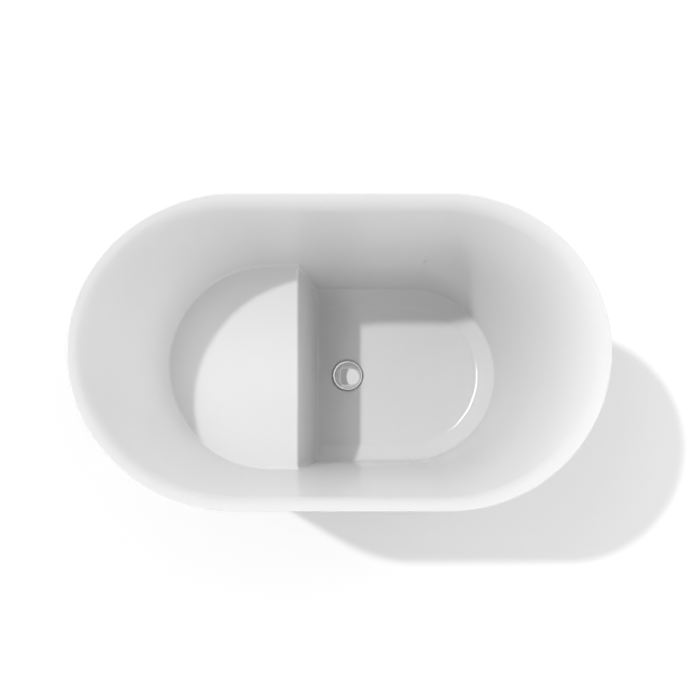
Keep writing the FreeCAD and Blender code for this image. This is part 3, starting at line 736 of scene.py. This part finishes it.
class Pattern:
    """A Geometry Nodes tree with named inputs for its sizes."""

    hexagon_slope: float = math.sqrt(3.0)  # run over fall of a turned-off corner
    hexagon_face: float = 0.47  # radius of the face left on top, over the flats

    def __init__(self, name: str, *sizes: str) -> None:
        """Starts the tree.

        Args:
            name: The tree's name.
            sizes: Names of its size inputs, in metres or as plain numbers.
        """
        self.tree = bpy.data.node_groups.new(name, "GeometryNodeTree")
        interface = self.tree.interface
        for way in ("OUTPUT", "INPUT"):
            interface.new_socket("Geometry", in_out=way, socket_type="NodeSocketGeometry")
        self.identifiers = {}
        for size in sizes:
            socket = interface.new_socket(size, in_out="INPUT", socket_type="NodeSocketFloat")
            self.identifiers[size] = socket.identifier
        self.nodes = Nodes(self.tree)
        self.inputs = self.nodes.add("NodeGroupInput").outputs

    def size(self, name: str) -> Number:
        """One of the size inputs."""
        return Number(self.nodes, self.inputs[name])

    def vector(self, x: Any, y: Any, z: Any) -> bpy.types.Node:
        """Joins three Numbers or plain numbers to a vector."""
        return self.nodes.add("ShaderNodeCombineXYZ", None, {"X": x, "Y": y, "Z": z})

    def moved(self, geometry: Any, z: Any, turn: Turn = Turn.UP) -> Socket:
        """Turns a shape about the origin, then lifts it.

        Args:
            geometry: The shape's socket.
            z: The lift, a Number or a plain number.
            turn: The way it then points.

        Returns:
            The moved shape's socket.
        """
        lift = self.vector(0.0, 0.0, z)
        inputs = {"Geometry": geometry, "Translation": lift, "Rotation": turn.value}
        return self.nodes.add("GeometryNodeTransform", None, inputs).outputs[0]

    def smooth(self, geometry: Any, faces: Any = True) -> bpy.types.Node:
        """Shades a shape smoothly on the given faces."""
        inputs = {"Geometry": geometry, "Selection": faces}
        return self.nodes.add("GeometryNodeSetShadeSmooth", None, inputs)

    def cylinder(self, radius: Any, length: Any, low: Any, sides: int = HEAD_SIDES) -> Socket:
        """Upright cylinder with a smooth side.

        Args:
            radius: Its radius.
            length: Its length.
            low: Height of its lower end.
            sides: Number of its sides.

        Returns:
            The mesh socket.
        """
        inputs = {"Vertices": sides, "Radius": radius, "Depth": length}
        made = self.nodes.add("GeometryNodeMeshCylinder", None, inputs).outputs
        return self.moved(self.smooth(made["Mesh"], made["Side"]), length * 0.5 + low)

    def shank(self) -> Socket:
        """A screw's shank, down from the origin, from the Radius and Shank inputs."""
        length = self.size("Shank")
        return self.cylinder(self.size("Radius"), length, 0.0 - length, SHANK_SIDES)

    def cut(self, operation: str, first: Any, *others: Any) -> Socket:
        """Intersects or subtracts shapes.

        Args:
            operation: INTERSECT or DIFFERENCE.
            first: The first shape.
            others: The shapes that cut it.

        Returns:
            The mesh socket.
        """
        settings = {"operation": operation, "solver": "EXACT"}
        node = self.nodes.add("GeometryNodeMeshBoolean", settings)
        shapes = (first, *others)
        if operation == "DIFFERENCE":
            self.nodes.feed(node.inputs["Mesh 1"], first)
            shapes = others
        for shape in shapes:
            self.nodes.feed(node.inputs["Mesh 2"], shape)
        return node.outputs["Mesh"]

    def join(self, *shapes: Any) -> Socket:
        """Joins shapes.

        Args:
            shapes: The shapes.

        Returns:
            The socket of one mesh.
        """
        node = self.nodes.add("GeometryNodeJoinGeometry")
        for shape in shapes:
            self.nodes.feed(node.inputs[0], shape)
        return node.outputs[0]

    def hexagon(self, flats: Number, height: Number, both_ends: bool) -> Socket:
        """Hexagon whose corners are turned off at 30 degrees, standing on the origin.

        Args:
            flats: Width across its flats.
            height: Its height.
            both_ends: Whether its lower end is turned off too.

        Returns:
            The mesh socket.
        """
        inputs = {"Vertices": 6, "Radius": flats / self.hexagon_slope, "Depth": height}
        prism = self.nodes.add("GeometryNodeMeshCylinder", None, inputs)
        prism = self.moved(prism, height * 0.5)
        face = flats * self.hexagon_face
        inputs = {
            "Vertices": CONE_SIDES,
            "Radius Top": face,
            "Radius Bottom": face + height * self.hexagon_slope,
            "Depth": height,
        }
        cone = self.nodes.add("GeometryNodeMeshCone", None, inputs).outputs["Mesh"]
        cones = [cone]
        if both_ends:
            cones.append(self.moved(cone, height, Turn.DOWN))
        return self.cut("INTERSECT", prism, *cones)

    def close(self, shape: Any, material: Material) -> None:
        """Sets a shape at every point of the input, turned as the point says, and ends the tree.

        Args:
            shape: The shape.
            material: The material of it all.
        """
        settings = {"data_type": "FLOAT_VECTOR"}
        turn = self.nodes.add("GeometryNodeInputNamedAttribute", settings, {"Name": "turn"})
        inputs = {
            "Points": self.inputs["Geometry"],
            "Instance": shape,
            "Rotation": turn.outputs["Attribute"],
        }
        spread = self.nodes.add("GeometryNodeInstanceOnPoints", None, inputs)
        real = self.nodes.add("GeometryNodeRealizeInstances", None, {"Geometry": spread})
        inputs = {"Geometry": real, "Material": material}
        dressed = self.nodes.add("GeometryNodeSetMaterial", None, inputs)
        self.nodes.add("NodeGroupOutput", None, {0: dressed})

    def make(self, name: str, places: list[Place], sizes: dict[str, float]) -> Piece:
        """Runs the tree once and keeps its result as a plain mesh.

        Args:
            name: The piece's name.
            places: Where the tree sets its shape, and how it turns it.
            sizes: Values of its size inputs.

        Returns:
            The finished piece.
        """
        seeds = bpy.data.meshes.new(name)
        seeds.from_pydata([place.point for place in places], [], [])
        turns = seeds.attributes.new("turn", "FLOAT_VECTOR", "POINT")
        for row, place in zip(turns.data, places):
            row.vector = place.turn.value
        piece = bpy.data.objects.new(name, seeds)
        bpy.context.scene.collection.objects.link(piece)
        modifier = piece.modifiers.new("pattern", "NODES")
        modifier.node_group = self.tree
        for size, value in sizes.items():
            modifier[self.identifiers[size]] = value
        evaluated = piece.evaluated_get(bpy.context.evaluated_depsgraph_get())
        made = bpy.data.meshes.new_from_object(evaluated)
        piece.modifiers.remove(modifier)
        piece.data = made
        return piece


@dataclass
class Mouldings:
    """Basin and skirt, their bond and the boards."""

    nodes: tuple[str, ...] = (
        "inner_shell",
        "outer_skirt",
        "rim_bond",
        "floor_board",
        "seat_board",
    )

    def build(self, workshop: Workshop) -> None:
        """Dresses the mouldings, the skirt with its back inside."""
        workshop.dress_nodes(*self.nodes)
        workshop.dress(frame["nodes"]["outer_skirt"], Slot.SKIRT_ACRYLIC)


@dataclass
class SteelFrame:
    """Rails, cross tubes and seat posts with their fastenings."""

    tubes: tuple[str, ...] = (
        "near_rail",
        "far_rail",
        "seat_end_cross",
        "seat_front_cross",
        "well_cross",
        "foot_end_cross",
        "seat_post_1",
        "seat_post_2",
        "seat_post_3",
        "seat_post_4",
        "skirt_brackets",
        "foot_bushes",
    )
    bolt_flats: float = 0.010
    bolt_head: float = 0.004
    bolt_radius: float = 0.003
    bolt_shank: float = 0.005
    bolts_along: int = 3
    round_head_radius: float = 0.0045
    round_head: float = 0.003
    round_rings: int = 24
    dome_cutter: float = 1.5  # radius of what halves the ball, over the head's
    round_shank_radius: float = 0.00225
    plate_screw_spread: float = 0.040
    recess_reach: float = 1.2  # length of a recess bar, over the head's radius
    recess_width: float = 0.0012
    recess_depth: float = 0.0014
    nut_flats: float = 0.019
    nut_height: float = 0.007
    nut_bore: float = 0.00605
    bore_heights: float = 3.0  # length of the bore's cutter, in heights of the nut

    def build(self, workshop: Workshop) -> None:
        """Dresses the tubes and makes the fastenings.

        Args:
            workshop: Where the finishes are kept.
        """
        workshop.dress_nodes(*self.tubes)
        zinc = workshop.materials[Slot.ZINC]
        hexagons = self.hexagon_pattern(zinc)
        pieces = {
            "board_screws": self.board_screws(hexagons),
            "bracket_bolts": self.bracket_bolts(hexagons),
            "plate_screws": self.plate_screws(zinc),
            "foot_lock_nuts": self.lock_nuts(zinc),
        }
        for node, piece in pieces.items():
            workshop.stand_in(piece, "tub", Slot.ZINC, node)

    def hexagon_pattern(self, zinc: Material) -> Pattern:
        """Tree of a hexagon-headed screw: head up from its seat, shank down.

        Args:
            zinc: Its material.

        Returns:
            The pattern.
        """
        pattern = Pattern("hexagon_screw", "Flats", "Head", "Radius", "Shank")
        head = pattern.hexagon(pattern.size("Flats"), pattern.size("Head"), False)
        pattern.close(pattern.join(head, pattern.shank()), zinc)
        return pattern

    def bolt_row(self, node: str) -> list[float]:
        """Where a row of hexagon screws stands along the tub.

        Args:
            node: The CAD node of the screws.

        Returns:
            Their places along the tub.
        """
        low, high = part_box(node)
        corner = self.bolt_flats / math.sqrt(3.0)
        return spaced(low[0] + corner, high[0] - corner, self.bolts_along)

    def bolt_sizes(self, shank: float) -> dict[str, float]:
        """Sizes of a hexagon screw.

        Args:
            shank: Length of its shank.

        Returns:
            Values of the pattern's inputs.
        """
        return {
            "Flats": self.bolt_flats,
            "Head": self.bolt_head,
            "Radius": self.bolt_radius,
            "Shank": shank,
        }

    def board_screws(self, pattern: Pattern) -> Piece:
        """Screws up through the rails into the floor board.

        Args:
            pattern: The hexagon screw.

        Returns:
            The piece.
        """
        low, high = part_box("board_screws")
        seat = low[2] + self.bolt_head
        half = self.bolt_flats / 2.0
        rails = (low[1] + half, high[1] - half)
        row = self.bolt_row("board_screws")
        places = [Place((x, y, seat), Turn.DOWN) for x in row for y in rails]
        return pattern.make("board_screw_set", places, self.bolt_sizes(high[2] - seat))

    def bracket_bolts(self, pattern: Pattern) -> Piece:
        """Bolts through the skirt brackets into the rails.

        Args:
            pattern: The hexagon screw.

        Returns:
            The piece.
        """
        low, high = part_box("bracket_bolts")
        z = (low[2] + high[2]) / 2.0
        sides = ((low[1] + self.bolt_head, Turn.NEAR), (high[1] - self.bolt_head, Turn.FAR))
        row = self.bolt_row("bracket_bolts")
        places = [Place((x, y, z), turn) for x in row for y, turn in sides]
        return pattern.make("bracket_bolt_set", places, self.bolt_sizes(self.bolt_shank))

    def recess_pattern(self, zinc: Material) -> Pattern:
        """Tree of a round-headed screw with a cross recess: head up from its seat, shank down.

        Args:
            zinc: Its material.

        Returns:
            The pattern.
        """
        sizes = ("Head Radius", "Head", "Radius", "Shank", "Slot", "Depth")
        pattern = Pattern("cross_recess_screw", *sizes)
        radius, head = pattern.size("Head Radius"), pattern.size("Head")
        inputs = {"Segments": HEAD_SIDES, "Rings": self.round_rings, "Radius": 1.0}
        ball = pattern.nodes.add("GeometryNodeMeshUVSphere", None, inputs).outputs["Mesh"]
        inputs = {"Geometry": ball, "Scale": pattern.vector(radius, radius, head)}
        ball = pattern.smooth(pattern.nodes.add("GeometryNodeTransform", None, inputs))
        above = pattern.cylinder(radius * self.dome_cutter, head * 2.0, 0.0)
        dome = pattern.cut("INTERSECT", ball, above)
        width, reach = pattern.size("Slot"), radius * self.recess_reach
        bars = []
        for x, y in ((reach, width), (width, reach)):
            size = pattern.vector(x, y, pattern.size("Depth") * 2.0)
            bar = pattern.nodes.add("GeometryNodeMeshCube", None, {"Size": size})
            bars.append(pattern.moved(bar.outputs["Mesh"], head))
        cross_head = pattern.cut("DIFFERENCE", dome, *bars)
        pattern.close(pattern.join(cross_head, pattern.shank()), zinc)
        return pattern

    def plate_screws(self, zinc: Material) -> Piece:
        """Round-headed screws up through the post plates.

        Args:
            zinc: Their material.

        Returns:
            The piece.
        """
        low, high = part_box("plate_screws")
        edge = self.round_head_radius
        seat = low[2] + self.round_head
        first, last = low[0] + edge, high[0] - edge
        row = (first, first + self.plate_screw_spread, last - self.plate_screw_spread, last)
        sides = (low[1] + edge, high[1] - edge)
        places = [Place((x, y, seat), Turn.DOWN) for x in row for y in sides]
        sizes = {
            "Head Radius": edge,
            "Head": self.round_head,
            "Radius": self.round_shank_radius,
            "Shank": high[2] - seat,
            "Slot": self.recess_width,
            "Depth": self.recess_depth,
        }
        return self.recess_pattern(zinc).make("plate_screw_set", places, sizes)

    def lock_nuts(self, zinc: Material) -> Piece:
        """Lock nuts turned off at both ends, one on each stud.

        Args:
            zinc: Their material.

        Returns:
            The piece.
        """
        pattern = Pattern("lock_nut", "Flats", "Height", "Bore")
        height = pattern.size("Height")
        nut = pattern.hexagon(pattern.size("Flats"), height, True)
        drilled = height * self.bore_heights
        bore = pattern.cylinder(pattern.size("Bore"), drilled, 0.0 - height, BORE_SIDES)
        pattern.close(pattern.cut("DIFFERENCE", nut, bore), zinc)
        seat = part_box("foot_lock_nuts")[0][2]
        feet = [middle(f"foot_stud_{number}") for number in FEET]
        places = [Place((x, y, seat), Turn.UP) for x, y, _ in feet]
        sizes = {"Flats": self.nut_flats, "Height": self.nut_height, "Bore": self.nut_bore}
        return pattern.make("lock_nut_set", places, sizes)


@dataclass
class LevellingFeet:
    """Five feet: a threaded stud with a hexagon collar on a rubber pad each."""

    stud_radius: float = 0.006
    thread_pitch: float = 0.00175
    thread_depth: float = 0.0009
    thread_flank: float = 1.3  # slope of the flanks
    thread_crest: float = 0.85  # where the flanks are cut flat
    whole_turns: float = 8.0  # keeps the thread's phase above 0
    end_chamfer: float = 0.0012
    collar_flats: float = 0.019
    collar_height: float = 0.007
    collar_lift: float = 0.006
    steps_around: int = 24
    steps_per_turn: int = 8

    def build(self, workshop: Workshop) -> None:
        """Dresses the pads and makes the studs.

        Args:
            workshop: Where the finishes are kept.
        """
        low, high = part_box("foot_stud_1")
        length = high[2] - low[2]
        sizes = {
            "Radius": self.stud_radius,
            "Pitch": self.thread_pitch,
            "Depth": self.thread_depth,
            "Length": length,
            "Chamfer": self.end_chamfer,
            "Flats": self.collar_flats,
            "Collar": self.collar_height,
            "Lift": self.collar_lift,
        }
        pattern = self.stud_pattern(workshop.materials[Slot.ZINC], length, *sizes)
        for number in FEET:
            workshop.dress_nodes(f"foot_pad_{number}")
            node = f"foot_stud_{number}"
            x, y, _ = middle(node)
            place = Place((x, y, low[2]), Turn.UP)
            piece = pattern.make(f"threaded_stud_{number}", [place], sizes)
            workshop.stand_in(piece, f"foot_{number}", Slot.ZINC, node)

    def stud_pattern(self, zinc: Material, length: float, *sizes: str) -> Pattern:
        """Tree of a stud: its thread, closed at both ends, with its collar.

        Args:
            zinc: Its material.
            length: Length of the stud, which sets how finely its thread is divided.
            sizes: Names of the size inputs.

        Returns:
            The pattern.
        """
        pattern = Pattern("threaded_stud", *sizes)
        thread = self.thread(pattern, length)
        end_radius = pattern.size("Radius") - pattern.size("Chamfer")
        inputs = {"Vertices": self.steps_around, "Radius": end_radius}
        disc = pattern.nodes.add("GeometryNodeMeshCircle", {"fill_type": "NGON"}, inputs)
        disc = disc.outputs["Mesh"]
        lower_end = pattern.moved(disc, 0.0, Turn.DOWN)
        upper_end = pattern.moved(disc, pattern.size("Length"))
        inputs = {"Geometry": pattern.join(thread, lower_end, upper_end), "Distance": TINY}
        closed = pattern.nodes.add("GeometryNodeMergeByDistance", None, inputs)
        collar = pattern.hexagon(pattern.size("Flats"), pattern.size("Collar"), True)
        collar = pattern.moved(collar, pattern.size("Lift"))
        pattern.close(pattern.join(closed, collar), zinc)
        return pattern

    def thread(self, pattern: Pattern, length: float) -> bpy.types.Node:
        """A grid wrapped into a screw thread that narrows at both ends.

        Args:
            pattern: The stud's tree.
            length: Length of the stud.

        Returns:
            The node whose first output is the thread.
        """
        nodes = pattern.nodes
        inputs = {
            "Size X": 1.0,
            "Size Y": 1.0,
            "Vertices X": self.steps_around + 1,
            "Vertices Y": round(length / self.thread_pitch * self.steps_per_turn) + 1,
        }
        grid = nodes.add("GeometryNodeMeshGrid", None, inputs).outputs["Mesh"]
        u, v, _ = nodes.axes(nodes.add("GeometryNodeInputPosition").outputs[0])
        angle = (u + 0.5) * FULL_TURN
        z = (v + 0.5) * pattern.size("Length")
        phase = (z / pattern.size("Pitch") - u + self.whole_turns).fraction()
        flank = 1.0 - (phase * 2.0 - 1.0).size() * self.thread_flank
        ridge = flank.at_least(0.0).at_most(self.thread_crest) / self.thread_crest
        radius = pattern.size("Radius") - pattern.size("Depth") * (1.0 - ridge)
        to_end = (pattern.size("Length") - z).at_most(z)
        limit = pattern.size("Radius") - pattern.size("Chamfer") + to_end
        radius = radius.at_most(limit)
        wrapped = pattern.vector(radius * angle.cosine(), radius * angle.sine(), z)
        inputs = {"Geometry": grid, "Position": wrapped}
        return pattern.smooth(nodes.add("GeometryNodeSetPosition", None, inputs))


@dataclass
class Waste:
    """Waste with the cap that lifts."""

    nodes: tuple[str, ...] = (
        "drain_body",
        "flange_washer",
        "lower_washer",
        "back_nut",
        "tail_pipe",
        "tail_seal",
        "tail_nut",
        "drain_cap",
        "cap_seal",
        "cap_stem",
        "valve_sleeve",
        "cap_spring",
    )

    def build(self, workshop: Workshop) -> None:
        """Dresses the waste, its body in a plate darkened as painted shade round the cap."""
        workshop.dress_nodes(*self.nodes)
        # painted shade: the darkened plate makes the ring round the cap dark
        workshop.dress(frame["nodes"]["drain_body"], Slot.SHADED_WASTE_CHROME)


@dataclass(frozen=True)
class SoftBelt:
    """A belt of soft light round the studio, with its strength on each side.

    Its lower and upper edges fade between two upward shares of a direction.
    """

    lower: Range
    upper: Range
    right: float
    left: float
    far: float
    near: float

    def light(self, x: Number, y: Number, z: Number) -> Number:
        """Its light in a direction.

        Args:
            x: The direction's share towards the right.
            y: The direction's share towards the far side.
            z: The direction's share upwards.

        Returns:
            The strength as a Number.
        """
        level = (1.0 - z * z).at_least(TINY).power(0.5)
        ahead, along = x / level, y / level
        sides = (
            (ahead, self.right),
            (0.0 - ahead, self.left),
            (along, self.far),
            (0.0 - along, self.near),
        )
        around = sum(way.at_least(0.0).power(2.0) * strength for way, strength in sides)
        return (z.ramp(*self.lower) - z.ramp(*self.upper)) * around


@dataclass(frozen=True)
class SoftBox:
    """An oval soft box that shows in reflections, its sizes as sines of the angles it fills."""

    towards: Point
    half_width: float
    half_height: float
    strength: float
    edge: float = 0.8  # where its light starts to fade
    front_edge: float = 0.1  # fade towards the side it is not on

    def light(self, x: Number, y: Number, z: Number) -> Number:
        """Its light in a direction.

        Args:
            x: The direction's share towards the right.
            y: The direction's share towards the far side.
            z: The direction's share upwards.

        Returns:
            The strength as a Number.
        """
        aim = Vector(self.towards).normalized()
        side = Vector((-aim.y, aim.x, 0.0)).normalized()
        axes = (aim, side, aim.cross(side))
        along, across, up = (x * axis.x + y * axis.y + z * axis.z for axis in axes)
        oval = (across / self.half_width).power(2.0) + (up / self.half_height).power(2.0)
        inside = 1.0 - oval.ramp(self.edge, 1.0)
        return inside * along.ramp(0.0, self.front_edge) * self.strength


@dataclass(frozen=True)
class Lamp:
    """A distant lamp: where it stands, its strength and its spread in degrees."""

    name: str
    towards: Point
    strength: float
    spread: float

    def add(self) -> Piece:
        """Adds it to the scene.

        Returns:
            The lamp object.
        """
        data = bpy.data.lights.new(self.name, "SUN")
        data.energy = self.strength
        data.angle = math.radians(self.spread)
        lamp = bpy.data.objects.new(self.name, data)
        turn = Vector(UPWARDS).rotation_difference(Vector(self.towards))
        lamp.rotation_euler = turn.to_euler()
        bpy.context.scene.collection.objects.link(lamp)
        return lamp


@dataclass
class Studio:
    """Pale floor, belts of soft light, one sun and the camera looking straight down."""

    camera_place: Point = (0.0235, -0.2076, 2.127)
    focal_pixels: float = 695.5
    image_pixels: float = 700.0
    sensor: float = 36.0
    axis_below_middle: float = 96.7  # pixels from the image's middle to the optical axis
    sun: Lamp = Lamp("sun", (-0.75, 0.355, 1.0), 1.72, 2.5)
    glints: tuple[Lamp, ...] = (
        Lamp("glint_0", (-0.415, 0.13, 0.899), 0.5, 12.0),
        Lamp("glint_1", (-0.375, 0.284, 0.882), 0.7, 12.0),
        Lamp("glint_2", (-0.295, 0.419, 0.857), 0.4, 12.0),
    )
    glint_reach: float = 3.0  # ray depth at which a glint has gone
    belts: tuple[SoftBelt, ...] = (
        SoftBelt((0.72, 0.81), (0.87, 0.94), right=0.83, left=3.49, far=0.55, near=0.0),
        SoftBelt((0.52, 0.63), (0.72, 0.81), right=1.51, left=0.0, far=2.47, near=1.81),
        SoftBelt((0.2, 0.32), (0.52, 0.63), right=3.51, left=0.0, far=0.72, near=0.96),
        SoftBelt((-2.0, -1.0), (0.2, 0.32), right=0.0, left=3.68, far=0.8, near=1.56),
    )
    mirrored_room: float = 0.42  # light of the room in mirrors
    mirrored_box: SoftBox = SoftBox((0.67, 0.0, 0.74), 0.755, 0.755, 0.55)
    floor_half: float = 20.0
    floor_colour: Colour = (0.7, 0.7, 0.7)
    floor_lift: float = 0.025  # glow that the camera sees on the floor

    def build(self) -> None:
        """Sets the camera, lights, sky and floor."""
        bpy.context.scene.view_settings.view_transform = "Standard"
        self.add_camera()
        self.add_lamps()
        self.add_sky()
        self.add_floor()

    def add_camera(self) -> None:
        """Adds the camera at the photograph's viewing place."""
        data = bpy.data.cameras.new("camera")
        data.sensor_width = self.sensor
        data.sensor_fit = "HORIZONTAL"
        data.lens = self.focal_pixels / self.image_pixels * self.sensor
        data.shift_y = self.axis_below_middle / self.image_pixels
        camera = bpy.data.objects.new("camera", data)
        camera.location = self.camera_place
        bpy.context.scene.collection.objects.link(camera)
        bpy.context.scene.camera = camera

    def add_lamps(self) -> None:
        """Adds the sun that throws the shadows, and the glints that only the basin mirrors."""
        self.sun.add().visible_glossy = False
        receivers = bpy.data.collections.new("glint_receivers")
        receivers.objects.link(frame["nodes"]["inner_shell"])
        for glint in self.glints:
            lamp = glint.add()
            self.shine_once(lamp.data)
            lamp.visible_diffuse = False
            lamp.light_linking.receiver_collection = receivers

    def shine_once(self, data: bpy.types.Light) -> None:
        """Keeps a lamp's light off surfaces that are seen in a mirror.

        Args:
            data: The lamp.
        """
        nodes = blank_nodes(data)
        depth = Number(nodes, nodes.add("ShaderNodeLightPath").outputs["Ray Depth"])
        strength = (self.glint_reach - depth).at_most(1.0).at_least(0.0)
        glow = nodes.add("ShaderNodeEmission", None, {"Strength": strength})
        nodes.add("ShaderNodeOutputLight", None, {"Surface": glow})

    def rays(self, nodes: Nodes) -> tuple[Number, Number, Number]:
        """Masks of the rays from the camera, from mirrors and through glass.

        Args:
            nodes: The tree to add to.

        Returns:
            The three masks as Numbers.
        """
        path = nodes.add("ShaderNodeLightPath").outputs
        names = ("Is Camera Ray", "Is Glossy Ray", "Is Transmission Ray")
        return tuple(Number(nodes, path[name]) for name in names)

    def add_sky(self) -> None:
        """Adds the soft light.

        The camera sees it as white, and mirrors see it as a dim room with a soft box.
        """
        world = bpy.data.worlds.new("sky")
        nodes = blank_nodes(world)
        x, y, z = nodes.axes(nodes.add("ShaderNodeTexCoord").outputs["Generated"])
        camera, mirror, glass = self.rays(nodes)
        mirrored = self.mirrored_room + self.mirrored_box.light(x, y, z)
        soft = sum(belt.light(x, y, z) for belt in self.belts)
        plain = 1.0 - (camera + mirror + glass).at_most(1.0)
        strength = camera + glass + mirror * mirrored + plain * soft
        inputs = {"Color": EVEN, "Strength": strength}
        sky = nodes.add("ShaderNodeBackground", None, inputs)
        nodes.add("ShaderNodeOutputWorld", None, {"Surface": sky})
        bpy.context.scene.world = world

    def add_floor(self) -> None:
        """Adds the pale floor, lifted towards white where the camera sees it."""
        material = bpy.data.materials.new("floor")
        nodes = blank_nodes(material)
        matt = nodes.add("ShaderNodeBsdfDiffuse", None, {"Color": self.floor_colour})
        lifted = self.floor_lift * sum(self.rays(nodes)).at_most(1.0)
        lift = nodes.add("ShaderNodeEmission", None, {"Strength": lifted})
        both = nodes.add("ShaderNodeAddShader", None, {0: matt, 1: lift})
        nodes.add("ShaderNodeOutputMaterial", None, {"Surface": both})
        half = self.floor_half
        corners = [(-half, -half, 0.0), (half, -half, 0.0), (half, half, 0.0), (-half, half, 0.0)]
        mesh = bpy.data.meshes.new("floor")
        mesh.from_pydata(corners, [], [(0, 1, 2, 3)])
        mesh.materials.append(material)
        floor = bpy.data.objects.new("floor", mesh)
        bpy.context.scene.collection.objects.link(floor)


def main() -> None:
    """Builds the studio and every sub-assembly in order."""
    logging.basicConfig(level=logging.INFO, format="%(name)s: %(message)s")
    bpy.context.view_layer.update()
    workshop = Workshop()
    Studio().build()
    for part in (Mouldings(), SteelFrame(), LevellingFeet(), Waste()):
        part.build(workshop)


if __name__ == "__main__":
    main()
